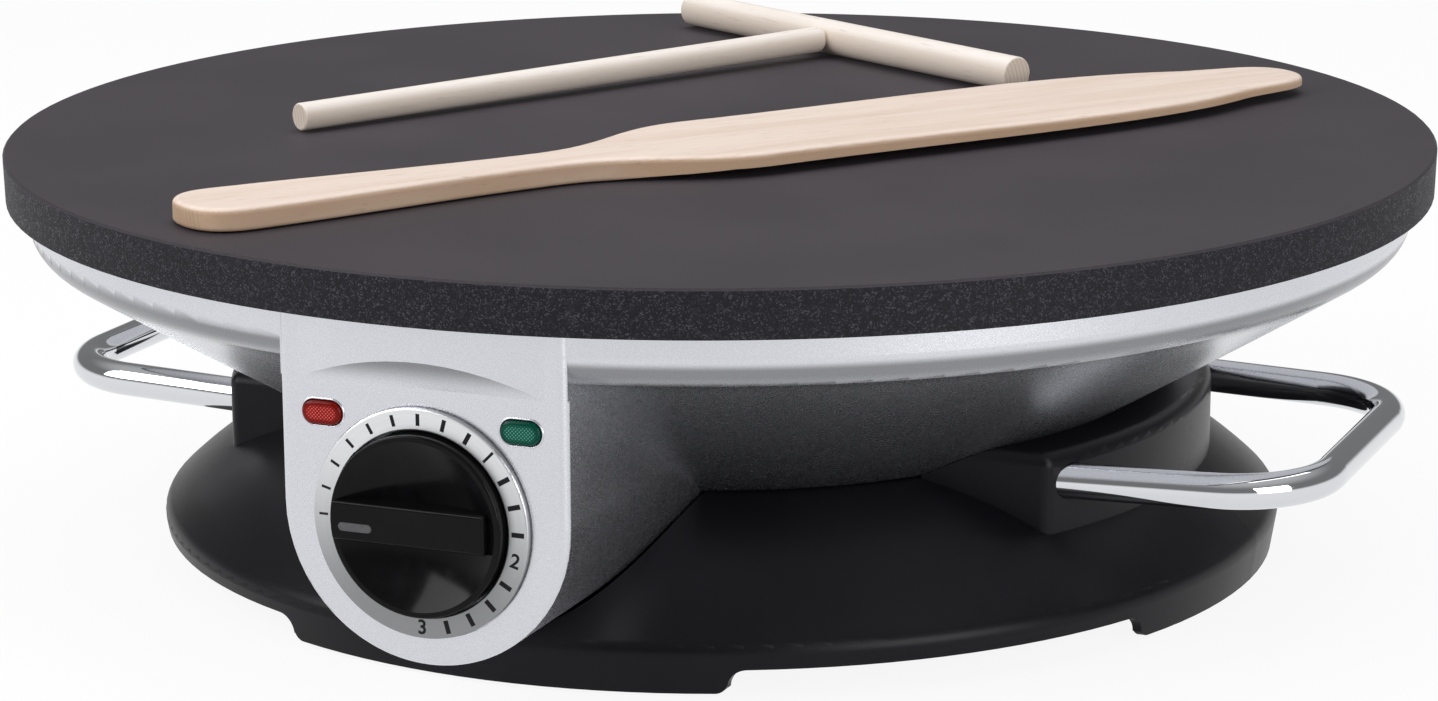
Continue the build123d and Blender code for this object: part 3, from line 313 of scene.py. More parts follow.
class Recipe:
    """A material, or the world, in the making: its node tree and what adds to it."""

    def __init__(self, name, world=False):
        self.material = (bpy.data.worlds if world else bpy.data.materials).new(name)
        self.material.use_nodes = True
        self.tree = self.material.node_tree
        self.tree.nodes.clear()
        self.place = self.node("ShaderNodeTexCoord", output="Object")
        self.facing = self.node("ShaderNodeTexCoord", output="Normal")

    def node(self, kind, settings=None, inputs=None, output=0):
        """Adds a node: its settings, then the values or links of its sockets."""
        made = self.tree.nodes.new(kind)
        for name, value in (settings or {}).items():
            setattr(made, name, value)
        known = {socket.identifier: socket for socket in made.inputs}
        for name, value in (inputs or {}).items():
            self.feed(known[name] if name in known else made.inputs[name], value)
        outlets = {socket.identifier: socket for socket in made.outputs}
        outlets.update(enumerate(made.outputs))
        return Value(self, outlets.get(output))

    def feed(self, socket, value):
        """Links a value to a socket, or sets the socket's own number or colour."""
        if isinstance(value, Value):
            self.tree.links.new(value.socket, socket)
        elif socket.type == "RGBA":
            socket.default_value = (*value, 1)
        else:
            socket.default_value = value

    def maths(self, operation, *terms):
        return self.node("ShaderNodeMath", {"operation": operation}, dict(enumerate(terms)))

    def vector(self, operation, first, second):
        return self.node("ShaderNodeVectorMath", {"operation": operation}, {0: first, 1: second})

    def axis(self, vector, name):
        return self.node("ShaderNodeSeparateXYZ", inputs={"Vector": vector}, output=name)

    def point(self, x, y, z):
        return self.node("ShaderNodeCombineXYZ", inputs={"X": x, "Y": y, "Z": z})

    def laid(self, angle, scale, origin=(0, 0, 0)):
        """Places turned about Z by minus the angle and stretched by scale, from origin."""
        moved = self.vector("SUBTRACT", self.place, origin)
        inputs = {"Vector": moved, "Angle": -angle}
        turned = self.node("ShaderNodeVectorRotate", {"rotation_type": "Z_AXIS"}, inputs)
        return self.vector("MULTIPLY", turned, scale)

    def mix(self, factor, first, second):
        """From the first colour to the second."""
        inputs = {"Factor_Float": factor, "A_Color": first, "B_Color": second}
        return self.node("ShaderNodeMix", {"data_type": "RGBA"}, inputs, "Result_Color")

    def vary(self, factor, colour, start, end):
        """From the start share of a colour to the end share of it."""
        return self.mix(factor, shade(colour, start), shade(colour, end))

    def noise(self, scale, detail=2, roughness=0.5, where=None):
        """Clouds with scale waves to a metre, or to a unit of where."""
        inputs = {
            "Vector": where or self.place,
            "Scale": scale,
            "Detail": detail,
            "Roughness": roughness,
        }
        return self.node("ShaderNodeTexNoise", inputs=inputs, output="Fac")

    def cells(self, scale):
        """A random share for each cell, with scale cells to a metre."""
        inputs = {"Vector": self.place, "Scale": scale}
        lots = self.node("ShaderNodeTexVoronoi", inputs=inputs, output="Color")
        return self.node("ShaderNodeSeparateColor", inputs={"Color": lots}, output="Red")

    def bump(self, height, distance, strength=1.0):
        inputs = {"Height": height, "Distance": distance, "Strength": strength}
        return self.node("ShaderNodeBump", inputs=inputs, output="Normal")

    def background_rays(self):
        """1 for rays that show the background: straight, mirrored or through glass."""
        camera, gloss, glass = (
            self.node("ShaderNodeLightPath", output=f"Is {kind} Ray")
            for kind in ("Camera", "Glossy", "Transmission")
        )
        return self.maths("MAXIMUM", camera, self.maths("MAXIMUM", gloss, glass))

    def finish(self, **inputs):
        """Ends the recipe with a Principled shader. Names use _ for a space."""
        named = {name.replace("_", " "): value for name, value in inputs.items()}
        shader = self.node("ShaderNodeBsdfPrincipled", inputs=named)
        self.node("ShaderNodeOutputMaterial", inputs={"Surface": shader})
        return self.material


# ---------------------------------------------------------------------------
# Finishes
# ---------------------------------------------------------------------------

def plate_finish(finishes):
    """Satin non-stick top; towards the rim's side a black cast coat with bright flecks."""
    recipe = Recipe("plate_coating")
    side = 1 - recipe.axis(recipe.facing, "Z").ramp(0.35, 0.85)
    cloud = recipe.noise(22, detail=3)
    grain = recipe.noise(1900)
    top = recipe.vary(cloud.ramp(0.3, 0.7), finishes.coating, 0.90, 1.12)
    top = recipe.mix(grain.ramp(0.35, 0.75) * 0.35, top, shade(finishes.coating, 1.6))
    bright = (recipe.cells(3900) > 0.82) * recipe.noise(700).ramp(0.3, 0.6)
    coat = recipe.vary(recipe.noise(1500).ramp(0.45, 0.8), finishes.rim, 1, 2.4)
    coat = recipe.mix(bright * 0.2, coat, finishes.fleck)
    colour = recipe.mix(side, top, coat)
    rough = side.ramp(0, 1, 0.55, 0.62) - bright * side * 0.2 + (cloud - 0.5) * 0.06
    orange_peel = recipe.noise(950) * (0.25 + side * 0.75)
    normal = recipe.bump(orange_peel, 0.09 * MM, 0.5)
    return recipe.finish(
        Base_Color=colour, Roughness=rough, Normal=normal, Specular_IOR_Level=0.18
    )


def paint_finish(finishes):
    """Metallic silver paint with fine flake, with a painted shade where the brow slopes under."""
    recipe = Recipe("silver_paint")
    flake = recipe.cells(3600)
    soft = recipe.noise(60, detail=3)
    colour = recipe.vary(flake, finishes.paint, 0.965, 1.035)
    colour = recipe.mix(soft.ramp(0.3, 0.7) * 0.10, colour, shade(finishes.paint, 0.85))
    # Painted shade: down-facing paint under the brow is darkened, fading in up the slope
    under = recipe.axis(recipe.facing, "Z").ramp(-0.35, -0.1, 1.0, 0.0)
    height = recipe.axis(recipe.place, "Z")
    brow = under * height.ramp(BROW_Z, BROW_Z + BROW_SHADE_RISE)
    colour = recipe.mix(brow * 0.95, colour, shade(finishes.paint, 0.36))
    rough = 0.255 + flake * 0.03 + (soft - 0.5) * 0.03
    normal = recipe.bump(flake, 0.002 * MM, 0.3)
    return recipe.finish(Base_Color=colour, Metallic=0.97, Roughness=rough, Normal=normal)


def moulded_finish(name, base, roughness, grain=1500, height=0.03 * MM, level=0.5):
    """Moulded plastic or rubber with a fine spark-eroded grain."""
    recipe = Recipe(name)
    fine = recipe.noise(grain, detail=3, roughness=0.6)
    broad = recipe.noise(35)
    colour = recipe.vary(broad.ramp(0.3, 0.7), base, 0.85, 1.2)
    colour = recipe.mix(fine.ramp(0.45, 0.8) * 0.5, colour, shade(base, 1.9))
    rough = roughness + (fine - 0.5) * 0.14 + (broad - 0.5) * 0.05
    normal = recipe.bump(fine, height, 0.6)
    return recipe.finish(
        Base_Color=colour, Roughness=rough, Normal=normal, Specular_IOR_Level=level
    )


def knob_finish(finishes):
    """Polished black with the faint haze and hairlines that handling leaves."""
    recipe = Recipe("knob_plastic")
    haze = recipe.noise(140, detail=4, roughness=0.65)
    hairs = recipe.noise(700, where=recipe.laid(0.4, (1, 8, 0.25)))
    colour = recipe.mix(haze.ramp(0.4, 0.75) * 0.4, finishes.knob, shade(finishes.knob, 2.4))
    rough = 0.13 + haze.ramp(0.45, 0.8) * 0.10 + (hairs > 0.7) * 0.05
    normal = recipe.bump(haze, 0.01 * MM, 0.3)
    return recipe.finish(
        Base_Color=colour, Roughness=rough, Normal=normal, Specular_IOR_Level=0.1
    )


def dial_finish(finishes):
    """Aluminium brushed in circles round the dial's centre, with a painted shade towards its foot.
    """
    recipe = Recipe("dial_aluminium")
    x = recipe.axis(recipe.place, "X")
    z = recipe.axis(recipe.place, "Z") - DIAL_Z
    radius = (x * x + z * z).root()
    angle = recipe.maths("ARCTAN2", x, z)
    fine = recipe.point(radius * 9000, angle * 1.6, 0.0)
    rings = recipe.noise(1.0, detail=3, roughness=0.7, where=fine)
    coarse = recipe.point(radius * 1200, angle * 1.1, 3.0)
    broad = recipe.noise(1.0, detail=1, where=coarse)
    colour = recipe.vary(rings, finishes.dial, 0.95, 1.25)
    colour = recipe.mix(broad * 0.25, colour, shade(finishes.dial, 0.7))
    # Painted shade: the ring's colour darkens towards its foot
    foot_shade = (z / radius).ramp(-0.9, 0.9, 0.85, 0.0)
    colour = recipe.mix(foot_shade, colour, shade(finishes.dial, 0.25))
    normal = recipe.bump(rings, 0.012 * MM, 0.7)
    return recipe.finish(
        Base_Color=colour, Metallic=1.0, Roughness=0.30 + rings * 0.16, Normal=normal
    )


def ink_finish(name, ink):
    """Satin print, a little uneven."""
    recipe = Recipe(name)
    grain = recipe.noise(2500)
    return recipe.finish(
        Base_Color=recipe.vary(grain, ink, 0.8, 1.8),
        Roughness=0.42 + grain * 0.1,
        Specular_IOR_Level=0.15,
    )


def lens_finish(name, tint, window, settings):
    """Clear tinted plastic with painted highlights in the middles of its diamond prisms, a painted
    shade at its border and a painted glow.
    """
    recipe = Recipe(name)
    x = recipe.axis(recipe.place, "X") - window.centre.x
    z = recipe.axis(recipe.place, "Z") - window.centre.z
    over = recipe.maths("MAXIMUM", abs(x) - window.straight, 0.0)
    inside = window.half_height - (over * over + z * z).root()
    field = inside.ramp(settings.border * 0.5, settings.border * 1.3)
    across = x / settings.pitch
    up = z / settings.pitch
    rising = abs(((across + up) * math.pi).sine())
    falling = abs(((across - up) * math.pi).sine())
    prism = rising * falling
    murk = recipe.noise(900)
    # Painted highlights: each prism is darker at its edges and lighter in its middle
    colour = recipe.vary(prism.ramp(0.0, 0.9), tint, 0.45, 1)
    colour = recipe.mix(prism.ramp(0.6, 0.95) * field * 0.9, colour, whiten(tint, 0.2))
    # Painted shade: the border is darker than the middle
    colour = recipe.mix(0.75 - field * 0.75, colour, shade(tint, 0.12))
    colour = recipe.mix(murk * 0.25, colour, shade(tint, 0.6))
    # The emission is a painted glow, brightest in the prisms' middles; the lens is no lamp
    return recipe.finish(
        Base_Color=colour,
        Roughness=0.12 + murk * 0.08,
        Specular_IOR_Level=0.12,
        Emission_Color=recipe.vary(prism.ramp(0.3, 0.95), tint, 0.02, 0.5),
        Emission_Strength=0.25,
    )


def chrome_finish(finishes):
    """Bright chrome with the faint waviness of bent and plated rod."""
    recipe = Recipe("chrome")
    wave = recipe.noise(55)
    specks = recipe.noise(1400, detail=3, roughness=0.6)
    colour = recipe.mix(specks.ramp(0.6, 0.8) * 0.3, finishes.chrome, shade(finishes.chrome, 0.7))
    rough = 0.045 + specks.ramp(0.5, 0.9) * 0.06
    normal = recipe.bump(wave, 0.05 * MM, 0.25)
    return recipe.finish(Base_Color=colour, Metallic=1.0, Roughness=rough, Normal=normal)


def metal_finish(name, base, roughness, streak=(1, 1, 1), tarnish=0.25):
    """Plain metal of a hidden or small part: streaks, tarnish and fine scratches."""
    recipe = Recipe(name)
    grain = recipe.noise(900, detail=3, roughness=0.6, where=recipe.laid(0.0, streak))
    patches = recipe.noise(90, detail=3)
    colour = recipe.vary(grain, base, 0.82, 1.12)
    colour = recipe.mix(patches.ramp(0.45, 0.75) * tarnish, colour, shade(base, 0.55))
    rough = roughness + grain * 0.14 + patches.ramp(0.45, 0.75) * 0.08
    normal = recipe.bump(grain, 0.015 * MM, 0.5)
    return recipe.finish(Base_Color=colour, Metallic=1.0, Roughness=rough, Normal=normal)


def recessed_finish(name, base, offset):
    """Bright screw heads with a cross recess, drawn by a bump and a painted shade; the four screws
    lie at (+-offset, +-offset).
    """
    recipe = Recipe(name)
    x, y = (abs(abs(recipe.axis(recipe.place, n)) - offset) for n in "XY")
    narrow = recipe.maths("MINIMUM", x, y).ramp(*CROSS_HALF_WIDTH, 1.0, 0.0)
    short = recipe.maths("MAXIMUM", x, y).ramp(*CROSS_REACH, 1.0, 0.0)
    cross = narrow * short
    grain = recipe.noise(900, detail=3, roughness=0.6)
    colour = recipe.vary(grain, base, 0.82, 1.12)
    # Painted shade: the cross recess is darkened
    colour = recipe.mix(cross, colour, shade(base, 0.08))
    normal = recipe.bump(1 - cross, CROSS_DEPTH)
    return recipe.finish(
        Base_Color=colour, Metallic=1.0, Roughness=0.26 + grain * 0.14, Normal=normal
    )


def wood_finish(name, face, edge, angle, origin, side_shade=1.0):
    """Sanded close-grained wood; the grain runs along the tool, with rings on its ends, and a
    painted shade on its sides.
    """
    recipe = Recipe(name)
    # Waves to a metre along the grain, then twice across it
    fibres = recipe.noise(
        1.0, detail=4, roughness=0.6, where=recipe.laid(angle, (14, 210, 210), origin)
    )
    broad = recipe.noise(
        1.0, detail=3, roughness=0.55, where=recipe.laid(angle, (7, 70, 70), origin)
    )
    pores = recipe.noise(1.0, where=recipe.laid(angle, (130, 1500, 1500), origin))
    side = 1 - recipe.axis(recipe.facing, "Z").ramp(0.25, 0.8)
    # Painted shade: sides that face away from up take the darker edge colour
    colour = recipe.mix(side * side_shade, face, edge)
    colour = recipe.mix(fibres.ramp(0.35, 0.75) * 0.30, colour, shade(edge, 0.95))
    colour = recipe.mix(broad.ramp(0.4, 0.7) * 0.25, colour, shade(face, 1.08))
    colour = recipe.mix(pores.ramp(0.62, 0.78) * 0.40, colour, shade(edge, 0.68))
    facing = recipe.axis(recipe.facing, "X") * math.cos(angle)
    facing = facing + recipe.axis(recipe.facing, "Y") * math.sin(angle)
    end = abs(facing).ramp(0.80, 0.95)
    across = recipe.laid(angle, (1, 1, 1), origin)
    y = recipe.axis(across, "Y") - PITH_Y
    z = recipe.axis(across, "Z") - PITH_Z
    rings = ((y * y + z * z).root() * YEAR_RINGS + fibres * 3).sine().ramp(0.0, 0.9)
    colour = recipe.mix(end * (0.15 + rings * 0.35), colour, shade(edge, 0.68))
    rough = 0.62 + (fibres - 0.5) * 0.15
    normal = recipe.bump(fibres + pores * 0.4, 0.06 * MM, 0.35)
    return recipe.finish(
        Base_Color=colour, Roughness=rough, Normal=normal, Specular_IOR_Level=0.3
    )


def ceramic_finish(name, base):
    """Pale ceramic with darker specks."""
    recipe = Recipe(name)
    speck = recipe.noise(700, detail=3)
    colour = recipe.mix(speck.ramp(0.5, 0.75) * 0.3, base, shade(base, 0.7))
    normal = recipe.bump(speck, 0.03 * MM, 0.4)
    return recipe.finish(Base_Color=colour, Roughness=0.35 + speck * 0.2, Normal=normal)


def braid_finish(name, base):
    """Braided glass sleeve: two sets of crossing threads."""
    recipe = Recipe(name)
    x, y, z = (recipe.axis(recipe.place, n) for n in "XYZ")
    one = ((x + y + z) * BRAID).sine()
    two = ((x - y + z) * BRAID).sine()
    weave = recipe.maths("MAXIMUM", one, two).ramp(-0.4, 1.0)
    colour = recipe.vary(weave, base, 0.6, 1)
    normal = recipe.bump(weave, 0.06 * MM, 0.6)
    return recipe.finish(Base_Color=colour, Roughness=0.7 + weave * 0.1, Normal=normal)


def glass_finish(name):
    """Clear glass with a faint warm haze."""
    recipe = Recipe(name)
    haze = recipe.noise(300)
    return recipe.finish(
        Base_Color=recipe.mix(haze, LAMP_GLASS, LAMP_HAZE),
        Roughness=0.04 + haze * 0.05,
        Transmission_Weight=0.85,
        IOR=1.48,
    )


def middle(node):
    """The middle of a node's box."""
    low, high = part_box(node)
    return (low + high) / 2


def lie(node):
    """The angle about Z of a long piece, from its box's low corner to the high one."""
    low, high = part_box(node)
    return math.atan2(high.y - low.y, high.x - low.x)


def dress(material, *nodes):
    """Gives CAD nodes their finish."""
    for node in nodes:
        slots = NODES[node].data.materials
        slots.clear()
        slots.append(material)


# ---------------------------------------------------------------------------
# Meshes of the small pieces
# ---------------------------------------------------------------------------

def piece(name, mesh, body, material, smooth=None):
    """A finished mesh as an object that rides on a body; smooth is an angle in degrees."""
    data = bpy.data.meshes.new(name)
    bmesh.ops.recalc_face_normals(mesh, faces=mesh.faces)
    mesh.to_mesh(data)
    mesh.free()
    data.materials.append(material)
    if smooth is not None:
        data.shade_smooth()
        data.set_sharp_from_angle(angle=math.radians(smooth))
    made = bpy.data.objects.new(name, data)
    bpy.context.scene.collection.objects.link(made)
    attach(made, body)
    return made


def bridge(mesh, one, two):
    """Faces between two closed loops with the same number of points."""
    count = len(one)
    for k in range(count):
        n = (k + 1) % count
        mesh.faces.new((one[k], one[n], two[n], two[k]))


def on_dial(radius, across, angle, depth):
    """A place on the dial: out along the angle, clockwise from 9 o'clock, and sideways."""
    out = Vector((-math.cos(angle), 0, math.sin(angle)))
    side = Vector((math.sin(angle), 0, math.cos(angle)))
    centre = Vector((0, RING_LOW.y - depth, DIAL_Z))
    return centre + out * radius + side * across


def mark(mesh, settings, index):
    """One printed line; the marks grow bolder over the first half of the scale."""
    share = min(1.0, index / (settings.steps / 2))
    half_length = between(settings.short_mark, settings.long_mark, share) / 2
    half_width = between(settings.thin_mark, settings.bold_mark, share) / 2
    angle = index * settings.step_angle
    rims = []
    for depth in (0.0, settings.ink_height):
        rim = []
        for a, b in ((-1, -1), (-1, 1), (1, 1), (1, -1)):
            radius = settings.mark_radius + a * half_length
            rim.append(mesh.verts.new(on_dial(radius, b * half_width, angle, depth)))
        rims.append(rim)
    low, high = rims
    mesh.faces.new(high)
    mesh.faces.new(low[::-1])
    bridge(mesh, low, high)


def number_mesh(text, settings, index, lean):
    """A plain number from the built-in font, stood on the dial and leaning by an angle."""
    curve = bpy.data.curves.new("number_" + text, "FONT")
    curve.body = text
    curve.size = settings.number_height / FIGURE_SHARE
    curve.align_x = "CENTER"
    curve.align_y = "CENTER"
    curve.offset = FIGURE_WEIGHT
    curve.extrude = settings.ink_height / 2
    holder = bpy.data.objects.new("number_holder", curve)
    data = bpy.data.meshes.new_from_object(holder)
    centre = on_dial(settings.mark_radius, 0, index * settings.step_angle, settings.ink_height / 2)
    leaning = Matrix.Translation(centre) @ Matrix.Rotation(lean, 4, "Y")
    data.transform(leaning @ Matrix.Rotation(math.pi / 2, 4, "X"))
    mesh = bmesh.new()
    mesh.from_mesh(data)
    bpy.data.objects.remove(holder)
    bpy.data.meshes.remove(data)
    bpy.data.curves.remove(curve)
    return mesh


class Window:
    """A lamp window: a slot with round ends, inside the flange of the lens behind it."""

    def __init__(self, node, flange):
        self.low, self.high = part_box(node)
        self.centre = (self.low + self.high) / 2
        self.half_height = (self.high.z - self.low.z) / 2 - flange
        self.straight = (self.high.x - self.low.x) / 2 - flange - self.half_height

    def inside(self, x, z):
        """How far a point lies inside the slot's outline."""
        over = max(abs(x) - self.straight, 0.0)
        return self.half_height - math.hypot(over, z)

    def outline(self, angle, inset):
        """The outline's point at an angle, drawn in by inset."""
        radius = self.half_height - inset
        cosine = math.cos(angle)
        halfway = math.isclose(cosine, 0.0, abs_tol=1e-9)
        shift = 0.0 if halfway else math.copysign(self.straight, cosine)
        return shift + radius * cosine, radius * math.sin(angle)


def lens_mesh(window, settings):
    """A lamp window's lens: rounded border, diamond prisms in the middle, closed back."""
    low, high = window.low, window.high
    front = Vector((window.centre.x, low.y, window.centre.z))
    back_y = low.y + (high.y - low.y) * LENS_DEPTH_SHARE
    rings = math.ceil(window.half_height / settings.cell)

    def height(x, z):
        """How far the front surface lies behind the foremost plane."""
        inside = window.inside(x, z)
        edge = min(1.0, inside / settings.border)
        rounding = (1 - math.sqrt(max(0.0, 1 - (1 - edge) ** 2))) * LENS_FALL
        field = min(1.0, max(0.0, (inside - settings.border) / PRISM_FADE))
        rising = abs(math.sin(math.pi * (x + z) / settings.pitch))
        falling = abs(math.sin(math.pi * (x - z) / settings.pitch))
        return rounding + field * settings.depth * (1.2 - min(rising, falling))

    mesh = bmesh.new()
    loops = []
    for ring in range(rings):
        inset = window.half_height * ring / rings
        loop = []
        for k in range(LENS_POINTS):
            x, z = window.outline(2 * math.pi * k / LENS_POINTS, inset)
            loop.append(mesh.verts.new(front + Vector((x, height(x, z), z))))
        loops.append(loop)
    back = [mesh.verts.new((v.co.x, back_y, v.co.z)) for v in loops[0]]
    loops.insert(0, back)
    for outer, inner in zip(loops, loops[1:]):
        bridge(mesh, outer, inner)
    mesh.faces.new(back)
    bmesh.ops.contextual_create(mesh, geom=loops[-1])
    return mesh


def bead_mesh(window, settings):
    """A fine bead moulded in the pod's face round a lamp window."""
    centre = Vector((window.centre.x, FACE_Y, window.centre.z))
    mesh = bmesh.new()
    loops = []
    for k in range(BEAD_POINTS):
        angle = 2 * math.pi * (k + 0.5) / BEAD_POINTS
        shift = Vector((math.copysign(window.straight, math.cos(angle)), 0, 0))
        out = Vector((math.cos(angle), 0, math.sin(angle)))
        core = centre + shift + out * (window.half_height + settings.gap)
        loop = []
        for n in range(BEAD_SIDES):
            turned = 2 * math.pi * n / BEAD_SIDES
            lift = Vector((0, -math.sin(turned), 0)) + out * math.cos(turned)
            loop.append(mesh.verts.new(core + lift * settings.lip))
        loops.append(loop)
    for k, loop in enumerate(loops):
        bridge(mesh, loop, loops[(k + 1) % BEAD_POINTS])
    return mesh


# ---------------------------------------------------------------------------
# Operators, one for each group of pieces and one for the studio
# ---------------------------------------------------------------------------

class CREPE_OT_hotplate(bpy.types.Operator):
    """Coat the cast plate and finish the element and the shield under it"""

    bl_idname = "crepe.hotplate"
    bl_label = "Hotplate and element"

    def execute(self, context):
        dress(plate_finish(context.scene.crepe_finishes), "cooking_plate")
        dress(metal_finish("element_steel", SHEATH_STEEL, 0.42, tarnish=0.7), "heating_element")
        spun = (1, 12, 12)
        dress(metal_finish("shield_steel", SHIELD_STEEL, 0.34, streak=spun), "heat_shield")
        return {"FINISHED"}


class CREPE_OT_housing(bpy.types.Operator):
    """Paint the bowl housing silver"""

    bl_idname = "crepe.housing"
    bl_label = "Bowl housing"

    def execute(self, context):
        dress(paint_finish(context.scene.crepe_finishes), "bowl_housing")
        return {"FINISHED"}


class CREPE_OT_dial(bpy.types.Operator):
    """Brush the scale ring and print its marks and numbers"""

    bl_idname = "crepe.dial"
    bl_label = "Dial"

    # The places that carry a number in place of a mark, and its lean in degrees
    numbered = {9: ("1", 45), 13: ("2", 15), 18: ("3", 0)}

    def execute(self, context):
        finishes, settings = context.scene.crepe_finishes, context.scene.crepe_dial
        dress(dial_finish(finishes), "dial_ring")
        ink = ink_finish("dial_ink", finishes.ink)
        lines = bmesh.new()
        for index in range(settings.steps):
            if index not in self.numbered:
                mark(lines, settings, index)
        piece("dial_marks", lines, "root", ink)
        for index, (text, lean) in self.numbered.items():
            digits = number_mesh(text, settings, index, math.radians(lean))
            piece("dial_number_" + text, digits, "root", ink)
        return {"FINISHED"}


class CREPE_OT_knob(bpy.types.Operator):
    """Polish the knob and colour its pointer"""

    bl_idname = "crepe.knob"
    bl_label = "Knob"

    def execute(self, context):
        finishes = context.scene.crepe_finishes
        dress(knob_finish(finishes), "control_knob")
        dress(ink_finish("pointer_line", finishes.pointer), "knob_pointer")
        return {"FINISHED"}


class CREPE_OT_lamps(bpy.types.Operator):
    """Model the two lamp windows with their prisms and beads"""

    bl_idname = "crepe.lamps"
    bl_label = "Lamp windows"

    def execute(self, context):
        finishes, settings = context.scene.crepe_finishes, context.scene.crepe_lenses
        paint = NODES["bowl_housing"].data.materials[0]
        for hue, tint in (("red", finishes.red_lens), ("green", finishes.green_lens)):
            node = "indicator_lens_" + hue
            name = "lens_" + hue
            window = Window(node, settings.flange)
            finish = lens_finish(name, tint, window, settings)
            lens = piece(name, lens_mesh(window, settings), "root", finish, smooth=35)
            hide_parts(node)
            bead = bead_mesh(window, settings)
            piece("lens_bead_" + hue, bead, "root", paint, smooth=60)
        return {"FINISHED"}


class CREPE_OT_base(bpy.types.Operator):
    """Finish the base, its cover, its pads and the cord gland"""

    bl_idname = "crepe.base"
    bl_label = "Base and feet"

    def execute(self, context):
        finishes = context.scene.crepe_finishes
        dress(moulded_finish("base_plastic", finishes.base, 0.36, level=0.15), "base_shell")
        grey = shade(finishes.base, 1.3)
        cover = moulded_finish("cover_plastic", grey, 0.52, grain=900, height=0.05 * MM)
        dress(cover, "bottom_cover")
        low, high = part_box("cover_screws")
        offset = (high.x - low.x) / 2 - SCREW_HEAD
        dress(recessed_finish("cover_screws", STEEL, offset), "cover_screws")
        rubber = moulded_finish(
            "rubber", finishes.rubber, 0.72, grain=600, height=0.05 * MM, level=0.3
        )
        dress(rubber, "foot_pads", "cord_gland")
        return {"FINISHED"}


class CREPE_OT_handles(bpy.types.Operator):
    """Chrome both handles"""

    bl_idname = "crepe.handles"
    bl_label = "Handles"

    def execute(self, context):
        dress(chrome_finish(context.scene.crepe_finishes), "handle_left", "handle_right")
        return {"FINISHED"}


class CREPE_OT_tools(bpy.types.Operator):
    """Give the spreader and the spatula their wood"""

    bl_idname = "crepe.tools"
    bl_label = "Wooden tools"

    def execute(self, context):
        finishes = context.scene.crepe_finishes
        face, edge = finishes.spatula, finishes.spatula_edge
        beech = wood_finish("beech", face, edge, lie("spatula"), middle("spatula"))
        dress(beech, "spatula")
        pale = finishes.spreader
        # Painted shade on the dowels' sides; the same colour darkens their end grain
        shaded_sides_and_ends = tuple(part * share for part, share in zip(pale, SHADED_SIDE_AND_END_SHARES))
        along = lie("spreader_handle")
        for node, angle in (("spreader_handle", along), ("spreader_bar", along + math.pi / 2)):
            birch = wood_finish("birch_" + node, pale, shaded_sides_and_ends, angle, middle(node), side_shade=0.6)
            dress(birch, node)
        return {"FINISHED"}


class CREPE_OT_inside(bpy.types.Operator):
    """Finish the small and hidden parts"""

    bl_idname = "crepe.inside"
    bl_label = "Inner parts"

    steel_nodes = (
        "element_terminals", "element_clamps", "clamp_screws", "plate_spacers", "tie_screws",
        "knob_spring", "thermostat_shaft", "thermostat_body", "thermostat_screws",
        "handle_screws", "capillary_sensor", "sensor_clips", "sensor_clip_screws",
    )

    def execute(self, context):
        dress(metal_finish("steel", STEEL, 0.28), *self.steel_nodes)
        brass = metal_finish("terminal_brass", BRASS, 0.25)
        dress(brass, "thermostat_terminals", "terminal_screws")
        ceramic = ceramic_finish("block_ceramic", BLOCK_CERAMIC)
        dress(ceramic, "terminal_block", "thermal_fuse")
        dress(braid_finish("lead_insulation", LEAD_SLEEVE), "inner_leads")
        dress(ceramic_finish("holder_plastic", HOLDER_CERAMIC), "lamp_holders")
        dress(glass_finish("lamp_glass"), "neon_lamps")
        return {"FINISHED"}


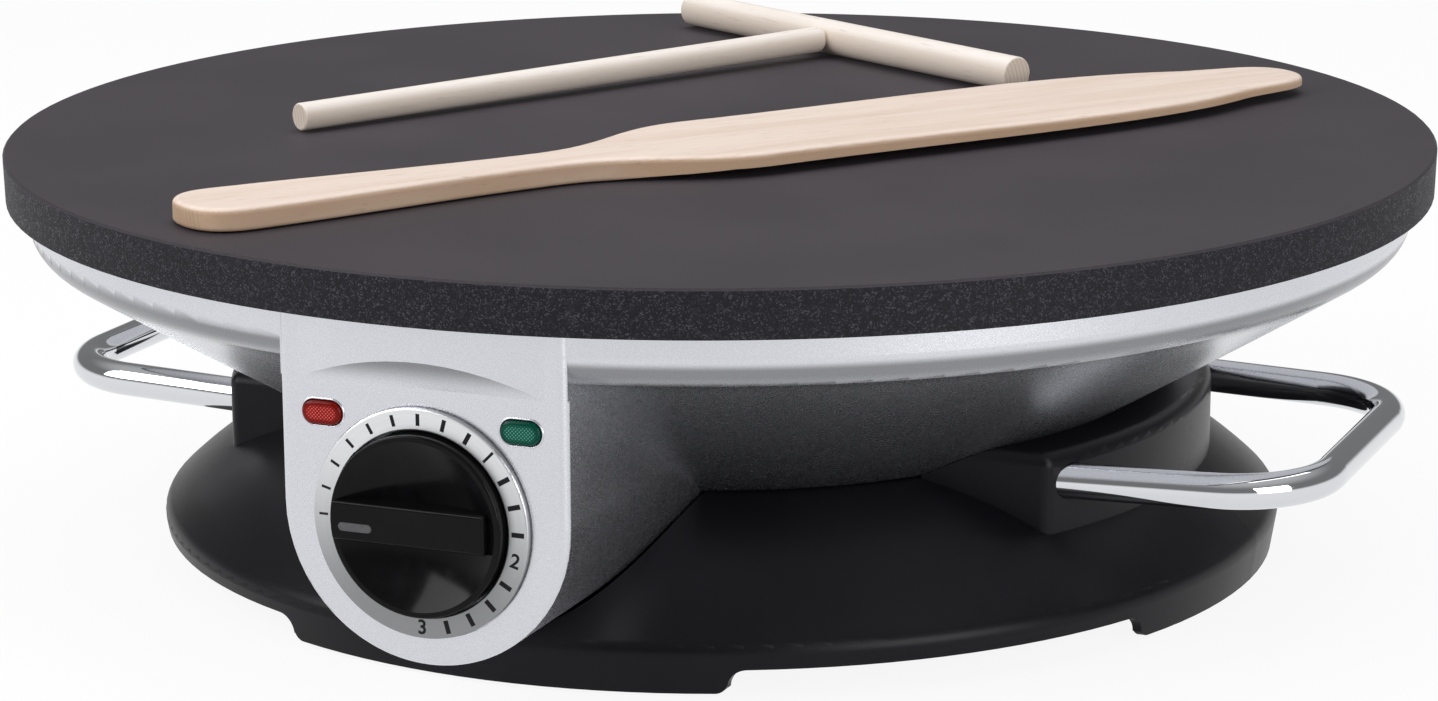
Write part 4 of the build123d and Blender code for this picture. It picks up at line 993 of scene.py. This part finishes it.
class CREPE_OT_studio(bpy.types.Operator):
    """Set up the floor, the lamps, the world and the camera"""

    bl_idname = "crepe.studio"
    bl_label = "Studio"

    def execute(self, context):
        settings = context.scene.crepe_studio
        self.floor(context, settings)
        self.world(context, settings)
        for name, (size, place) in LAMPS.items():
            self.lamp(context, name, getattr(settings, name), size, place)
        self.camera(context, settings)
        context.scene.view_settings.view_transform = "Standard"
        return {"FINISHED"}

    def floor(self, context, settings):
        """A pale floor that keeps shadows, mixed with plain white where it is seen."""
        mesh = bmesh.new()
        bmesh.ops.create_grid(
            mesh, x_segments=FLOOR_SQUARES, y_segments=FLOOR_SQUARES, size=FLOOR_REACH
        )
        data = bpy.data.meshes.new("studio_floor")
        mesh.to_mesh(data)
        mesh.free()
        floor = bpy.data.objects.new("studio_floor", data)
        context.scene.collection.objects.link(floor)
        floor.location.z = -FLOOR_GAP
        recipe = Recipe("studio_floor")
        paper = recipe.vary(recipe.noise(3) * 0.1, settings.floor, 1, 0.97)
        matt = recipe.node("ShaderNodeBsdfDiffuse", inputs={"Color": paper})
        white = recipe.node("ShaderNodeEmission", inputs={"Color": WHITE, "Strength": 1.0})
        share = recipe.background_rays() * settings.white
        shader = recipe.node("ShaderNodeMixShader", inputs={0: share, 1: matt, 2: white})
        recipe.node("ShaderNodeOutputMaterial", inputs={"Surface": shader})
        data.materials.append(recipe.material)

    def world(self, context, settings):
        """White below the horizon, dark walls and a paler ceiling, dimmer on matt surfaces."""
        recipe = Recipe("studio_world", world=True)
        height = recipe.axis(recipe.node("ShaderNodeTexCoord", output="Generated"), "Z")
        walls = height.ramp(-0.02, 0.16, 1.0, settings.dome)
        ceiling = height.ramp(0.45, 0.9, 0.0, 0.35)
        dimming = recipe.background_rays().ramp(0, 1, settings.sky, 1.0)
        inputs = {"Color": WHITE, "Strength": (walls + ceiling) * dimming}
        sky = recipe.node("ShaderNodeBackground", inputs=inputs)
        recipe.node("ShaderNodeOutputWorld", inputs={"Surface": sky})
        context.scene.world = recipe.material

    def lamp(self, context, name, power, size, place):
        """A square lamp that faces the object."""
        data = bpy.data.lights.new(name, "AREA")
        data.energy = power
        data.shape = "SQUARE"
        data.size = size
        made = bpy.data.objects.new(name, data)
        context.scene.collection.objects.link(made)
        made.location = place
        made.rotation_mode = "QUATERNION"
        made.rotation_quaternion = (LAMP_AIM - Vector(place)).to_track_quat("-Z", "Y")

    def camera(self, context, settings):
        """The camera: round the plate's middle, aimed at a height on the axis, then leaned."""
        data = bpy.data.cameras.new("camera")
        data.lens = settings.focal
        data.sensor_width = SENSOR_WIDTH
        data.shift_x = settings.shift
        data.clip_start = NEAREST
        data.clip_end = FARTHEST
        camera = bpy.data.objects.new("camera", data)
        context.scene.collection.objects.link(camera)
        flat = settings.distance * math.cos(settings.elevation)
        camera.location = (
            flat * math.sin(settings.azimuth),
            -flat * math.cos(settings.azimuth),
            PLATE_TOP + settings.distance * math.sin(settings.elevation),
        )
        towards = Vector((0, 0, settings.aim_height)) - camera.location
        level = towards.to_track_quat("-Z", "Y").to_matrix().to_4x4()
        leaned = level @ Matrix.Rotation(settings.roll, 4, "Z")
        camera.rotation_mode = "QUATERNION"
        camera.rotation_quaternion = leaned.to_quaternion()
        context.scene.camera = camera


OPERATORS = (
    CREPE_OT_hotplate,
    CREPE_OT_housing,
    CREPE_OT_dial,
    CREPE_OT_knob,
    CREPE_OT_lamps,
    CREPE_OT_base,
    CREPE_OT_handles,
    CREPE_OT_tools,
    CREPE_OT_inside,
    CREPE_OT_studio,
)


class CREPE_PT_panel(bpy.types.Panel):
    """Lists the operators and the settings they read"""

    bl_idname = "CREPE_PT_panel"
    bl_label = "Crepe maker"
    bl_space_type = "VIEW_3D"
    bl_region_type = "UI"
    bl_category = "Crepe maker"

    def draw(self, context):
        for operator in OPERATORS:
            self.layout.operator(operator.bl_idname)
        for name, group in GROUPS.items():
            box = self.layout.box()
            box.label(text=group.__doc__)
            for prop in group.__annotations__:
                box.prop(getattr(context.scene, name), prop)


def register():
    for made in (*GROUPS.values(), *OPERATORS, CREPE_PT_panel):
        bpy.utils.register_class(made)
    for name, group in GROUPS.items():
        setattr(bpy.types.Scene, name, bpy.props.PointerProperty(type=group))


def unregister():
    for name in GROUPS:
        delattr(bpy.types.Scene, name)
    for made in (CREPE_PT_panel, *OPERATORS, *GROUPS.values()):
        bpy.utils.unregister_class(made)


def main():
    register()
    bpy.ops.crepe.hotplate()
    bpy.ops.crepe.housing()
    bpy.ops.crepe.dial()
    bpy.ops.crepe.knob()
    bpy.ops.crepe.lamps()
    bpy.ops.crepe.base()
    bpy.ops.crepe.handles()
    bpy.ops.crepe.tools()
    bpy.ops.crepe.inside()
    bpy.ops.crepe.studio()


if __name__ == "__main__":
    main()
